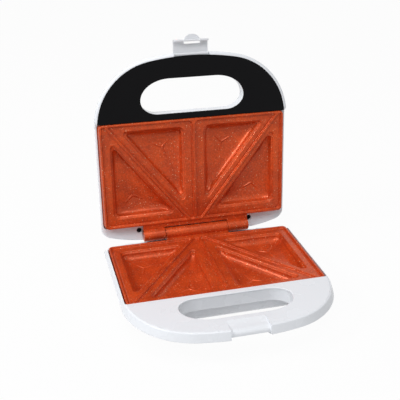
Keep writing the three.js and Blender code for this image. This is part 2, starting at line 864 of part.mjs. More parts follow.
// One moulded casing: bowl, handle tray, flange around the plate and the screw pillars.
function casingShell(casing) {
  const deck = casing.deck;
  const floor = deck - handleThickness + handleFloor;
  const outer = bowl(casing, 0).add(loft(handleLevels(casing, slabBack, 0)));
  let trayHollow = loft(handleLevels(casing, casingFront, handleWall));
  const tube = prism(openingRing(openingWall), floor - overrun, deck + 2 * overrun);
  const pillars = coverPosts(coverPillarRadius, floor - overrun, floor + coverPillarHeight);
  const blockRear = openingCentre + openingFrontReach;
  const block = box(
    -notchHalf - frontBlockWall, notchHalf + frontBlockWall,
    blockRear, handleApex + overrun, floor - overrun, deck - coverSeatDepth,
  );
  trayHollow = trayHollow.subtract(tube).subtract(pillars).subtract(block);
  const seat = prism(handleRing(casing.edgeRun, slabBack), deck - coverSeatDepth, deck + overrun);
  const clearance = skirtFlare + plateOpeningGap;
  const opening = roundedRectangle(
    -plateHalf - clearance, plateHalf + clearance,
    hingeToPlate - clearance, deckBack, plateCornerRadius,
  );
  let shell = outer
    .subtract(bowl(casing, casingWall))
    .subtract(prism(opening, hollowTop - fit, deck + overrun))
    .subtract(trayHollow)
    .subtract(seat)
    .subtract(handleOpening(deck));
  const coverBore = coverPosts(screwShankRadius + fit, floor - overrun, floor + coverPillarHeight + overrun);
  const headBore = coverPosts(
    screwHeadRadius + fit, floor - handleFloor - overrun,
    floor - handleFloor + headRecess + screwHeadHeight + fit,
  );
  shell = shell.subtract(coverBore).subtract(headBore);
  const fitsOver = crossBar(
    -knuckleOuter - knuckleRelief, knuckleOuter + knuckleRelief, 0, casing.axis,
    barrelRadius + knuckleRelief, barrelSides,
  );
  return shell.subtract(fitsOver);
}

const base = {
  rearReach: baseRearReach,
  rearBow: baseRearBow,
  deck: baseDeckHeight,
  edgeRun: baseEdgeRun,
  edgeDrop: baseEdgeDrop,
  axis: axisAboveRim,
};

const lid = {
  rearReach: lidRearReach,
  rearBow: lidRearBow,
  deck: -lidDeckDrop,
  edgeRun: lidEdgeRun,
  edgeDrop: lidEdgeDrop,
  axis: -lidAxisAboveRim,
};

const headSeat = -casingDepth + headSeatDepth;

// Base casing: relief at the rear for the open lid, latch lip with a finger hollow below it,
// pillars, foot seats and a pad for the gland.
function baseShell() {
  let shell = casingShell(base);
  shell = shell.subtract(box(
    -rearReliefHalf, rearReliefHalf, -casingHalfWidth, hingeToPlate - skirtFlare,
    -rearReliefDrop, overrun,
  ));

  const solidBowl = bowl(base, 0);
  let pillars = null;
  bossPlaces().forEach(({ x, s }) => {
    const foot = post(x, s, pillarFootRadius, -casingDepth - overrun, reflectorBottom - fit);
    const stem = post(x, s, pillarRadius, reflectorBottom - overrun, webBottom - lowerBossLength - fit);
    const pillar = foot.add(stem);
    pillars = pillars ? pillars.add(pillar) : pillar;
  });
  const glandPad = glandBar(glandPadRadius, -baseRearReach - glandPadProud, glandPadDepth - baseRearReach);
  const padTrim = box(
    -casingHalfWidth, casingHalfWidth, -casingHalfWidth, casingHalfWidth, -casingDepth, -rimDrop,
  );
  shell = shell.add(pillars.intersect(solidBowl)).add(glandPad.intersect(padTrim));
  bossPlaces().forEach(({ x, s }) => {
    shell = shell.subtract(bore(x, s, screwShankRadius + fit, headSeat - overrun, overrun));
    shell = shell.subtract(bore(x, s, screwHeadRadius + fit, -casingDepth - overrun, headSeat));
  });
  footPlaces().forEach(({ x, s }) => {
    const recess = circle(x, s, footRadius + fit, footSides);
    shell = shell.subtract(prism(recess, -casingDepth - overrun, -casingDepth + footRecess));
  });
  shell = shell.subtract(glandBar(glandRadius + fit, -baseRearReach - overrun, glandPadDepth + overrun));

  const front = handleApex + overrun;
  const seatRear = handleApex - seatLength;
  const low = base.deck - handleThickness - overrun;
  return shell
    .subtract(box(-seatHalf, seatHalf, seatRear, front, seatLevel, base.deck + overrun))
    .subtract(box(-seatHalf, seatHalf, lipFront, front, low, base.deck + overrun))
    .subtract(box(-seatHalf, seatHalf, lipFront - undercutDepth, front, low, lipBottom));
}

// Lid casing: notch and pin bores for the latch, bored bosses beside the hinge, lamp holes.
function lidShell() {
  let shell = casingShell(lid);
  const bosses = bothSides((side) => post(
    side * rearScrewX, rearScrewS, rearBossRadius, -rimDrop - rearBossDepth, -rimDrop - flangeThickness / 2,
  ));
  const boardPosts = bothSides((side) => post(
    side * boardPostX, lampS, boardPostRadius, -casingDepth + casingWall / 2,
    -casingDepth + lensLength + fit,
  ));
  shell = shell.add(bosses.intersect(bowl(lid, 0))).add(boardPosts);
  const bores = bothSides((side) => bore(
    side * rearScrewX, rearScrewS, screwShankRadius + fit, -rimDrop - rearBossDepth - overrun, overrun,
  ));
  const counterbores = bothSides((side) => bore(
    side * rearScrewX, rearScrewS, rearBoreRadius, -rimDrop - rearSeatDepth, overrun,
  ));
  const lampHoles = bothSides((side) => bore(
    side * lampX, lampS, lensRadius + fit, -casingDepth - overrun, -casingDepth + casingWall + fit,
  ));
  const notchRear = latchPivotS - latchBarrelRadius - notchGap;
  const notch = box(
    -notchHalf, notchHalf, notchRear, handleApex + overrun,
    lid.deck - handleThickness - overrun, lid.deck + overrun,
  );
  const pinBore = crossBar(
    -notchHalf - latchPinSeat, notchHalf + latchPinSeat, latchPivotS, -latchPivotDepth,
    latchPinRadius + fit, boreSides,
  );
  return shell.subtract(bores).subtract(counterbores).subtract(lampHoles).subtract(notch).subtract(pinBore);
}

// A handle cover: thin plate with the opening and two posts for its screws.
function handleCover(casing, seatCut) {
  const deck = casing.deck;
  const under = deck - coverThickness;
  const floor = deck - handleThickness + handleFloor;
  const postEnd = floor + coverPillarHeight + fit;
  let cover = prism(handleRing(casing.edgeRun + fit, deckBack), under, deck);
  cover = cover.add(coverPosts(coverPostRadius, postEnd, under + fit));
  cover = cover.subtract(prism(openingRing(0), under - overrun, deck + overrun));
  cover = cover.subtract(coverPosts(screwShankRadius + fit, postEnd - overrun, postEnd + coverScrewBite + fit));
  return seatCut ? cover.subtract(seatCut) : cover;
}

function baseHandleCover() {
  const seatCut = box(
    -seatHalf, seatHalf, handleApex - seatLength, handleApex + overrun,
    base.deck - coverSeatDepth - overrun, base.deck + overrun,
  );
  return handleCover(base, seatCut);
}

// Small parts

// Turned parts come from a profile of (radius, height) points that starts and ends on the axis.
function turned(profile, sides) {
  const points = profile.map(([radius, height]) => new THREE.Vector2(radius, height));
  const geometry = new THREE.LatheGeometry(points, sides);
  geometry.rotateX(Math.PI / 2);
  return solid(flipIfInside(geometry));
}

// Head at the bottom, tip at the top; zero height is the seat under the head.
function screw(length) {
  return turned([
    [0, -screwHeadHeight],
    [screwHeadRadius - screwHeadDome, -screwHeadHeight],
    [screwHeadRadius, -screwHeadHeight + screwHeadDome],
    [screwHeadRadius, 0],
    [screwShankRadius, 0],
    [screwShankRadius, length - screwTip],
    [0, length],
  ], screwSides);
}

function foot() {
  return turned([
    [0, 0],
    [footRadius - footEdge, 0],
    [footRadius, footEdge],
    [footRadius, footHeight],
    [0, footHeight],
  ], footSides);
}

function footPlaces() {
  return [
    { name: 'foot_rear_right', x: footX, s: footRearS },
    { name: 'foot_front_right', x: footX, s: footFrontS },
    { name: 'foot_rear_left', x: -footX, s: footRearS },
    { name: 'foot_front_left', x: -footX, s: footFrontS },
  ];
}

// A round bar along Y through the gland's place, from one distance forward to another.
function glandBar(radius, sRear, sFront) {
  const geometry = new THREE.CylinderGeometry(radius, radius, sFront - sRear, footSides);
  geometry.translate(glandX, -(sRear + sFront) / 2, -glandDrop);
  return solid(geometry);
}

// Ribbed bush with a through bore; its flange lies outside the rear wall.
function cordGland() {
  const face = -baseRearReach - glandPadProud - fit;
  const length = glandPadDepth - baseRearReach - face;
  const step = length / (2 * glandRibs);
  const profile = [[glandBoreRadius, -glandFlange]];
  profile.push([glandFlangeRadius - glandRibHeight, -glandFlange]);
  profile.push([glandFlangeRadius, 0]);
  for (let rib = 0; rib < glandRibs; rib += 1) {
    const start = rib * 2 * step;
    profile.push([glandRadius - glandRibHeight, start]);
    profile.push([glandRadius - glandRibHeight, start + step]);
    profile.push([glandRadius, start + step]);
    profile.push([glandRadius, start + 2 * step]);
  }
  profile.push([glandBoreRadius, length]);
  profile.push([glandBoreRadius, -glandFlange]);
  const points = profile.map(([radius, height]) => new THREE.Vector2(radius, -height));
  const geometry = new THREE.LatheGeometry(points, footSides);
  geometry.translate(glandX, -face, -glandDrop);
  return solid(flipIfInside(geometry));
}

// Sheathed heating tube: an open loop whose two ends face each other, with thin pins.
function heatingElement() {
  const loop = roundedLoop();
  const rings = loop.map((point, k) => {
    const before = loop[Math.max(k - 1, 0)];
    const after = loop[Math.min(k + 1, loop.length - 1)];
    const along = after.clone().sub(before).normalize();
    const side = new THREE.Vector3(-along.y, along.x, 0);
    const ring = [];
    for (let j = 0; j < tubeSides; j += 1) {
      const angle = (2 * Math.PI * j) / tubeSides;
      ring.push(point.clone()
        .addScaledVector(side, elementRadius * Math.cos(angle))
        .add(new THREE.Vector3(0, 0, elementRadius * Math.sin(angle))));
    }
    return ring;
  });
  const pins = bothSides((side) => crossBar(
    Math.min(side * elementEndGap, side * (elementEndGap - elementPinLength)) - (side > 0 ? 0 : fit),
    Math.max(side * elementEndGap, side * (elementEndGap - elementPinLength)) + (side > 0 ? fit : 0),
    elementRear, elementLevel, elementPinRadius, tubeSides,
  ));
  return sweep(rings).add(pins);
}

function roundedLoop() {
  const centreX = elementHalfWidth - elementCornerRadius;
  const rearCentre = elementRear + elementCornerRadius;
  const frontCentre = elementFront - elementCornerRadius;
  const bends = [
    { x: centreX, s: rearCentre }, { x: centreX, s: frontCentre },
    { x: -centreX, s: frontCentre }, { x: -centreX, s: rearCentre },
  ];
  const points = [new THREE.Vector3(elementEndGap, -elementRear, elementLevel)];
  bends.forEach(({ x, s }, quarter) => {
    for (let k = 0; k <= tubeBendSteps; k += 1) {
      const angle = (Math.PI / 2) * (1 - quarter - k / tubeBendSteps);
      points.push(new THREE.Vector3(
        x + elementCornerRadius * Math.cos(angle),
        -s + elementCornerRadius * Math.sin(angle),
        elementLevel,
      ));
    }
  });
  points.push(new THREE.Vector3(-elementEndGap, -elementRear, elementLevel));
  return points;
}

// A tube skin over rings of points, closed by a fan at either end.
function sweep(rings) {
  const sides = rings[0].length;
  const positions = [];
  rings.forEach((ring) => ring.forEach((point) => positions.push(point.x, point.y, point.z)));
  const faces = [];
  for (let i = 0; i + 1 < rings.length; i += 1) {
    for (let j = 0; j < sides; j += 1) {
      const next = (j + 1) % sides;
      faces.push(i * sides + j, (i + 1) * sides + next, i * sides + next);
      faces.push(i * sides + j, (i + 1) * sides + j, (i + 1) * sides + next);
    }
  }
  const last = (rings.length - 1) * sides;
  for (let j = 1; j + 1 < sides; j += 1) {
    faces.push(0, j, j + 1);
    faces.push(last, last + j + 1, last + j);
  }
  const geometry = new THREE.BufferGeometry();
  geometry.setAttribute('position', new THREE.Float32BufferAttribute(positions, 3));
  geometry.setIndex(faces);
  return solid(flipIfInside(geometry));
}

// Sheet reflector: a shallow tray with holes round the bosses or pillars that hold it.
function reflector(holeRadius) {
  const ring = (inset) => roundedRectangle(
    -reflectorHalfWidth + inset, reflectorHalfWidth - inset,
    reflectorRear + inset, reflectorFront - inset, reflectorCornerRadius - inset,
  );
  let tray = prism(ring(0), reflectorBottom, reflectorBottom + reflectorLip);
  tray = tray.subtract(prism(ring(reflectorSheet), reflectorTop, reflectorTop + reflectorLip + overrun));
  bossPlaces().forEach(({ x, s }) => {
    tray = tray.subtract(bore(x, s, holeRadius, reflectorBottom - overrun, reflectorTop + overrun));
  });
  return tray;
}

function thermostat() {
  const top = webBottom - fit;
  const rear = thermostatS - thermostatLength / 2;
  const housing = prism(
    roundedRectangle(-thermostatWidth / 2, thermostatWidth / 2, rear, rear + thermostatLength, thermostatCorner),
    top - thermostatHeight, top,
  );
  return housing;
}

function thermalFuse() {
  const geometry = new THREE.CylinderGeometry(fuseRadius, fuseRadius, fuseLength, boreSides);
  geometry.translate(0, -fuseS, webBottom - fit - fuseRadius);
  return solid(geometry);
}

function terminalBlock() {
  const low = -casingDepth + casingWall + fit;
  const rear = terminalS - terminalLength / 2;
  let block = box(-terminalWidth / 2, terminalWidth / 2, rear, rear + terminalLength, low, low + terminalHeight);
  [-terminalPitch / 2, terminalPitch / 2].forEach((x) => {
    const geometry = new THREE.CylinderGeometry(
      terminalBoreRadius, terminalBoreRadius, terminalLength + overrun, tubeSides,
    );
    geometry.translate(x, -terminalS, low + terminalHeight / 2);
    block = block.subtract(solid(geometry));
  });
  return block;
}

// Lens seen from outside the lid: low dome, flange and a stem through the wall.
function lens() {
  return turned([
    [0, -lensFlange - lensDome],
    [lensRadius, -lensFlange - lensDome / 2],
    [lensFlangeRadius, -lensFlange],
    [lensFlangeRadius, 0],
    [lensRadius, 0],
    [lensRadius, lensLength - fit],
    [0, lensLength - fit],
  ], lensSides);
}

function lampBoard() {
  const low = -casingDepth + lensLength + 2 * fit;
  return box(
    -boardWidth / 2, boardWidth / 2, lampS - boardLength / 2, lampS + boardLength / 2, low, low + boardSheet,
  );
}

// Latch, drawn about its pin: u runs away from the pin and v towards the front of the lid's rim.
function latch() {
  const tip = hookLevel + hookThickness;
  const barrel = crossBar(-latchHalf, latchHalf, 0, 0, latchBarrelRadius, barrelSides);
  let body = barrel.add(sidePrism([
    [0, -latchBarrelRadius],
    [tip, -latchBarrelRadius],
    [tip, hookReach],
    [hookLevel, hookReach],
    [hookLevel, -latchBarrelRadius + latchPlate],
    [0, -latchBarrelRadius + latchPlate],
  ], -latchHalf, latchHalf));
  const tabRadius = (latchTabHalf ** 2 + latchTabLength ** 2) / (2 * latchTabLength);
  const tabCentre = tip + latchTabLength - tabRadius;
  const spread = Math.asin(latchTabHalf / tabRadius);
  const tab = [
    new THREE.Vector2(latchTabOffset + latchTabHalf, -tip + hookThickness / 2),
    new THREE.Vector2(latchTabOffset - latchTabHalf, -tip + hookThickness / 2),
  ];
  for (let k = 0; k <= latchTabSteps; k += 1) {
    const angle = -spread + (2 * spread * k) / latchTabSteps;
    tab.push(at(latchTabOffset + tabRadius * Math.sin(angle), tabCentre + tabRadius * Math.cos(angle)));
  }
  body = body.add(prism(tab, -latchBarrelRadius, -latchBarrelRadius + latchTabThickness));
  body = body.subtract(box(
    latchTabOffset - latchWindowWidth / 2, latchTabOffset + latchWindowWidth / 2,
    hookLevel - latchWindowLength, hookLevel,
    -latchBarrelRadius - overrun, hookReach,
  ));
  return body.subtract(crossBar(-latchWidth, latchWidth, 0, 0, latchPinRadius + fit, boreSides));
}

// Materials

function finish(colour, roughness, metalness) {
  return new THREE.MeshStandardMaterial({ color: colour, roughness, metalness });
}

const whiteShell = finish(0xe9eaee, 0.3, 0);
const blackCover = finish(0x17161a, 0.35, 0);
const copperCoating = finish(0xb8452a, 0.4, 0.2);
const clearGrey = finish(0xd4d6da, 0.25, 0);
const steel = finish(0x9b9ea3, 0.35, 1);
const sheathSteel = finish(0x5c5d60, 0.5, 0.9);
const aluminiumSheet = finish(0xc8cacc, 0.4, 1);
const rubber = finish(0x2a2a2c, 0.8, 0);
const bakelite = finish(0x3a2a22, 0.5, 0);
const redLens = finish(0xb3201c, 0.15, 0);
const greenLens = finish(0x2f8f3a, 0.15, 0);

// Assembly

const machine = new THREE.Group();
const baseHalf = new THREE.Group();
const lidHinge = new THREE.Group();
const lidHalf = new THREE.Group();
const latchHinge = new THREE.Group();
machine.add(baseHalf, lidHinge);
lidHinge.add(lidHalf);
lidHalf.add(latchHinge);

baseHalf.position.z = restHeight;
lidHinge.position.z = restHeight + axisAboveRim;
lidHinge.rotation.x = THREE.MathUtils.degToRad(-openAngle);
lidHalf.rotation.y = Math.PI;
lidHalf.position.z = -lidAxisAboveRim;
latchHinge.position.set(0, -latchPivotS, -latchPivotDepth);

function place(parent, name, body, material, x = 0, s = 0, n = 0) {
  const mesh = new THREE.Mesh(geometryOf(body), material);
  mesh.name = name;
  mesh.position.set(x, -s, n);
  parent.add(mesh);
  return mesh;
}

place(baseHalf, 'base_shell', baseShell(), whiteShell);
place(baseHalf, 'base_handle_cover', baseHandleCover(), whiteShell);
place(baseHalf, 'lower_plate', lowerPlate(), copperCoating);
place(baseHalf, 'lower_element', heatingElement(), sheathSteel);
place(baseHalf, 'lower_reflector', reflector(pillarRadius + fit), aluminiumSheet);
place(baseHalf, 'thermostat', thermostat(), bakelite);
place(baseHalf, 'thermal_fuse', thermalFuse(), steel);
place(baseHalf, 'terminal_block', terminalBlock(), bakelite);
place(baseHalf, 'cord_gland', cordGland(), rubber);
footPlaces().forEach(({ name, x, s }) => {
  place(baseHalf, name, foot(), rubber, x, s, -restHeight);
});

const housingScrewLength = webBottom - lowerBossLength - headSeat + screwBite;
const housingScrewNames = ['rear_right', 'front_right', 'rear_left', 'front_left'];
bossPlaces().forEach(({ x, s }, i) => {
  const name = `base_screw_${housingScrewNames[i]}`;
  place(baseHalf, name, screw(housingScrewLength), steel, x, s, headSeat - fit);
});

const coverScrewLength = coverScrewBite + coverPillarHeight + handleFloor - headRecess - screwHeadHeight;
[base, lid].forEach((casing) => {
  const seat = casing.deck - handleThickness + headRecess + screwHeadHeight;
  const parent = casing === base ? baseHalf : lidHalf;
  const half = casing === base ? 'base' : 'lid';
  place(parent, `${half}_cover_screw_right`, screw(coverScrewLength), steel, coverPostX, coverPostS, seat);
  place(parent, `${half}_cover_screw_left`, screw(coverScrewLength), steel, -coverPostX, coverPostS, seat);
});

const pinStart = centreBarrelHalf - hingePinDepth;
place(baseHalf, 'hinge_pin_right', crossBar(
  pinStart, knuckleOuter, 0, axisAboveRim, hingePinRadius, barrelSides / 2,
), steel);
place(baseHalf, 'hinge_pin_left', crossBar(
  -knuckleOuter, -pinStart, 0, axisAboveRim, hingePinRadius, barrelSides / 2,
), steel);

place(lidHalf, 'lid_shell', lidShell(), whiteShell);
place(lidHalf, 'lid_handle_cover', handleCover(lid, null), blackCover);
place(lidHalf, 'upper_plate', upperPlate(), copperCoating);
place(lidHalf, 'upper_element', heatingElement(), sheathSteel);
place(lidHalf, 'upper_reflector', reflector(screwShankRadius + fit), aluminiumSheet);
place(lidHalf, 'lamp_board', lampBoard(), bakelite);
place(lidHalf, 'power_lens', lens(), redLens, lampX, lampS, -casingDepth - fit);
place(lidHalf, 'ready_lens', lens(), greenLens, -lampX, lampS, -casingDepth - fit);
place(lidHalf, 'latch_pin', crossBar(
  -notchHalf - latchPinSeat + fit, notchHalf + latchPinSeat - fit, latchPivotS, -latchPivotDepth,
  latchPinRadius, boreSides,
), steel);

bossPlaces().forEach(({ x, s }, i) => {
  const name = `reflector_screw_${housingScrewNames[i]}`;
  place(lidHalf, name, screw(screwBite), steel, x, s, reflectorBottom - fit);
});

const rearScrewLength = rearBossDepth - rearSeatDepth + rearLugHeight;
[1, -1].forEach((side) => {
  const name = side > 0 ? 'lid_rear_screw_right' : 'lid_rear_screw_left';
  const mesh = place(
    lidHalf, name, screw(rearScrewLength), steel,
    side * rearScrewX, rearScrewS, -rimDrop - rearSeatDepth + fit,
  );
  mesh.rotation.x = Math.PI;
});

place(latchHinge, 'latch', latch(), clearGrey);

// The origin is under the middle of the whole machine, on the surface that it stands on.
machine.updateMatrixWorld(true);
const bounds = new THREE.Box3().setFromObject(machine, true);
const middle = bounds.getCenter(new THREE.Vector3());
machine.position.set(-middle.x, -middle.y, -bounds.min.z);
machine.updateMatrixWorld(true);

export default machine;
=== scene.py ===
"""Looks of a two-slice sandwich maker, laid out as a Blender add-on and run as a script.

Both halves are drawn in one half frame, in metres: x across, y backwards from the hinge
axis and n up from the rim of the plate. on_base and on_lid carry it to the machine.
"""

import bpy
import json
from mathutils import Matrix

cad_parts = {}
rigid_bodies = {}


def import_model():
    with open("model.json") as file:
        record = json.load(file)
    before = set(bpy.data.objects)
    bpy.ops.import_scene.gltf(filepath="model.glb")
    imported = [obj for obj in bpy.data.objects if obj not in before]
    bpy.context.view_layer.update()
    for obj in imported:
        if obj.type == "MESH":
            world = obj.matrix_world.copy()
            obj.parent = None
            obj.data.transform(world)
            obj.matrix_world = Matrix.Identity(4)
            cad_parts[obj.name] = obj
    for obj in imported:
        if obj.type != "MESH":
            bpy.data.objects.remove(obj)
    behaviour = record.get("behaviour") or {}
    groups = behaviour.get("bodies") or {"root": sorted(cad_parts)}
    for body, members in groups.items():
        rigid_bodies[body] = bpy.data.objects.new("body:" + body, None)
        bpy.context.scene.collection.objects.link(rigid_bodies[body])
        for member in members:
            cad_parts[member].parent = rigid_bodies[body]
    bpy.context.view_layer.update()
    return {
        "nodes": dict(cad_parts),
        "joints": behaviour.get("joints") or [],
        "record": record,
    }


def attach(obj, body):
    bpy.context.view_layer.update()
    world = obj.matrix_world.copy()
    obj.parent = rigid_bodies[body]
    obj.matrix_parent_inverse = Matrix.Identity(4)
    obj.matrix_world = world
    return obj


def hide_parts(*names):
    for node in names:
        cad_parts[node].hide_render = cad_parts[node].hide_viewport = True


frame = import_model()

import json
import math

import bmesh
import bpy
import numpy as np
from bpy.props import FloatProperty, FloatVectorProperty, PointerProperty, StringProperty
from mathutils import Matrix

bl_info = {
    "name": "Sandwich maker",
    "version": (1, 0, 0),
    "blender": (4, 5, 0),
    "location": "3D View > Sidebar > Sandwich maker",
    "description": "Dresses the packed model of a two-slice sandwich maker",
    "category": "Add Mesh",
}

MM = 0.001
QUARTER = math.pi / 2
HINGE = next(joint for joint in frame["joints"] if joint["name"] == "lid_hinge")
AXIS = np.array(HINGE["pos_m"])
OPEN_ANGLE = math.radians(HINGE["range_deg"][1])
OVERRUN = 8 * MM  # how far a cutter passes what it cuts
CLEARANCE = 0.3 * MM  # round pins and feet, and behind parts that are set in
LEAST_RADIUS = 0.01 * MM  # of a corner that looks sharp
SAME_POINT = 0.0001 * MM  # points closer than this are merged


# Properties

def length(millimetres, label, text):
    """A length property, given in millimetres and kept in metres."""
    return FloatProperty(
        name=label, description=text, default=millimetres * MM, precision=5, unit="LENGTH",
    )


def hex_to_linear(code):
    """sRGB hex colour as linear RGBA: a channel below 0.04045 is divided by 12.92, the others follow the
    2.4 power."""
    values = np.array([int(code[i:i + 2], 16) for i in (1, 3, 5)]) / 255
    linear = np.where(values <= 0.04045, values / 12.92, ((values + 0.055) / 1.055) ** 2.4)
    return (*linear.tolist(), 1.0)


def colour(code, label, text):
    """A colour property whose default is an sRGB hex value."""
    return FloatVectorProperty(
        name=label, description=text, default=hex_to_linear(code),
        subtype="COLOR", size=4, min=0.0, max=1.0,
    )


class PlateSizes(bpy.types.PropertyGroup):
    """Sizes of the cast plates."""
    width: length(220, "Width", "Width of a plate")
    depth: length(126, "Depth", "Depth of a plate from its rear to its front edge")
    setback: length(13.2, "Setback", "From the hinge axis to the rear edge")
    corner: length(5, "Corner radius", "Radius of the plate's corners in plan")
    bevel: length(0.9, "Edge round", "Rounding of the outer edge")
    wall: length(2.5, "Wall", "Wall of the casting")
    skirt: length(10, "Skirt", "Depth of the skirt below the rim")
    flare: length(1.4, "Flare", "How far the skirt leans out at its foot")
    rim: length(2.5, "Rim", "Width of the raised rim")
    step: length(2, "Step", "Drop from the rim to the ledges")
    centre_ridge: length(3, "Centre ridge", "Width of the ridge between the slices")
    diagonal_ridge: length(2.6, "Diagonal ridge", "Width of the ridge across a slice")
    diagonal_rear: length(8.4, "Diagonal at rear", "From the middle to the diagonal at the rear")
    diagonal_front: length(5.1, "Diagonal at front", "From the outer ledge to the diagonal at the front")
    cell_corner: length(5, "Ledge corner", "Radius of the ledge at its square corner")
    cell_tip: length(1.2, "Ledge tip", "Radius of the ledge at its other corners")
    ridge_round: length(0.65, "Ridge round", "Rounding of the ridges' edges")
    ledge_fillet: length(0.8, "Ledge fillet", "Fillet at the foot of rim and ridges")
    channel: length(1.3, "Channel", "Width of the shallow channel along rim and ridges")
    channel_depth: length(0.4, "Channel depth", "Depth of that channel below the ledge")
    ledge_front: length(7.7, "Front ledge", "Width of the ledge at the front")
    ledge_rear: length(9.8, "Rear ledge", "Width of the ledge at the rear")
    ledge_inner: length(11, "Inner ledge", "Width of the ledge at the middle")
    ledge_outer: length(9.5, "Outer ledge", "Width of the ledge at the side")
    ledge_diagonal_front: length(9, "Diagonal ledge, front", "From the diagonal to the front pocket")
    ledge_diagonal_rear: length(7.2, "Diagonal ledge, rear", "From the diagonal to the rear pocket")
    pocket_depth: length(12, "Pocket depth", "Depth of the pockets below the rim")
    pocket_dish: length(1.2, "Dish", "Fall of a pocket's floor to its middle")
    pocket_draft: length(1.6, "Draft", "How far a pocket's wall leans in")
    pocket_fillet: length(7.2, "Foot fillet", "Fillet at the foot of a pocket's wall")
    pocket_edge: length(1.6, "Edge round", "Rounding of a pocket's edge")
    pocket_corner: length(6, "Pocket corner", "Radius of a pocket at its square corner")
    pocket_tip: length(3, "Pocket tip", "Radius of a pocket at its pointed corners")
    ray_length: length(11, "Ray length", "Length of the rays in a pocket's floor")
    ray_width: length(1.7, "Ray width", "Width of the rays")
    ray_rise: length(1.0, "Ray rise", "Height of the rays at the middle of the floor")
    barrel: length(7.2, "Barrel radius", "Radius of the hinge barrels")
    centre_barrel: length(38.5, "Centre barrel", "Half the length of the middle barrel")
    knuckle_gap: length(0.5, "Knuckle gap", "Gap between the barrels")
    knuckle: length(26, "Knuckle", "Length of an outer barrel")
    pin: length(2.5, "Pin radius", "Radius of the hinge pins")
    pin_depth: length(12, "Pin depth", "How far a pin reaches into the middle barrel")
    web_top: length(1, "Web top", "Top of the hinge webs below the rim")
    web_bottom: length(7, "Web bottom", "Underside of the hinge webs below the rim")
    bridge_gap: length(1.2, "Bridge gap", "Gap between the upper plate's bridge and the middle barrel")
    axis_above_rim: length(1.9, "Axis height", "Hinge axis above the lower plate's rim")
    lid_axis: length(1.6, "Axis in the lid", "Hinge axis beyond the upper plate's rim")


class CasingSizes(bpy.types.PropertyGroup):
    """Sizes of the moulded casings and their handles."""
    half_width: length(115, "Half width", "Half the width of the machine")
    front: length(146.5, "Front", "From the hinge axis to the casing's front wall")
    depth: length(38, "Depth", "From the plate's rim to the casing's floor")
    wall: length(2.5, "Wall", "Wall of the mouldings")
    rim_drop: length(7.5, "Rim drop", "Casing's flange below the plate's rim")
    flange: length(3.3, "Flange", "Thickness of the flange around the plate")
    rim_round: length(1.3, "Rim round", "Rounding of the flange's outer edge")
    inset: length(28, "Bowl inset", "How far the walls lean in down to the floor")
    rear_inset: length(12, "Rear inset", "How far the rear wall leans in")
    corner_least: length(6, "Corner at rim", "Corner radius in plan at the rim")
    corner_most: length(44, "Corner at floor", "Corner radius in plan at the floor")
    plate_gap: length(0.4, "Plate gap", "Gap between plate and casing")
    base_reach: length(5, "Base rear reach", "Base casing behind the hinge axis")
    base_bow: length(8, "Base rear bow", "How far the base's rear corners come forward")
    lid_reach: length(9.5, "Lid rear reach", "Lid casing behind the hinge axis")
    lid_bow: length(12.6, "Lid rear bow", "How far the lid's rear corners come forward")
    relief_half: length(78, "Relief", "Half the width of the base's rear relief")
    relief_drop: length(8.6, "Relief drop", "Level of the rear relief below the rim")
    apex: length(215, "Handle front", "From the hinge axis to the handle's front")
    front_radius: length(283.5, "Front radius", "Radius of the handle's front arc")
    corner_radius: length(78, "Handle corner", "Radius of the handle's corner arcs")
    back: length(139, "Handle back", "From the hinge axis to the handle's rear edge")
    back_radius: length(4, "Back corner", "Radius of the handle's rear corners")
    thickness: length(16.5, "Thickness", "Thickness of a handle")
    under_run: length(23, "Underside run", "Run of the handle's rounded underside")
    base_wall_run: length(3.1, "Base wall run", "How far the base handle's wall leans in up to its deck")
    base_wall_drop: length(9.4, "Base wall drop", "Height of that wall")
    base_corner: length(1.2, "Base corner", "Radius of the base handle's rear corners")
    base_edge: length(1.4, "Base edge", "Reach of the round between that wall and the deck")
    lid_edge_run: length(3.2, "Lid edge run", "Run of the lid handle's rounded edge")
    lid_edge_drop: length(2.6, "Lid edge drop", "Drop of the lid handle's rounded edge")
    base_deck: length(0.9, "Base deck", "Deck of the base handle above the rim")
    lid_deck: length(-1.5, "Lid deck", "Deck of the lid handle above the rim")
    deck_back: length(139.7, "Deck back", "From the hinge axis to the covers' rear edge")
    cover: length(1.7, "Cover", "Thickness of the handle covers")
    seat: length(2, "Cover seat", "Depth of the seat of a cover")
    opening_waist: length(163, "Opening waist", "From the hinge axis to where the opening is widest")
    opening_half_length: length(61, "Opening half length", "Half the length of the opening")
    opening_front: length(24, "Opening front", "Reach of the opening in front of its waist")
    opening_front_run: length(34, "Opening front run", "Length of the front quarter ellipses")
    opening_rear: length(16.4, "Opening rear", "Reach of the opening behind its waist")
    opening_rear_run: length(21, "Opening rear run", "Length of the rear quarter ellipses")
    opening_flare: length(1.5, "Opening flare", "Flare of the opening at the underside")
    foot: length(7, "Foot radius", "Radius of a foot")
    foot_recess: length(1.2, "Foot recess", "Depth of the recess of a foot")
    foot_height: length(5.2, "Foot height", "Height of a foot")


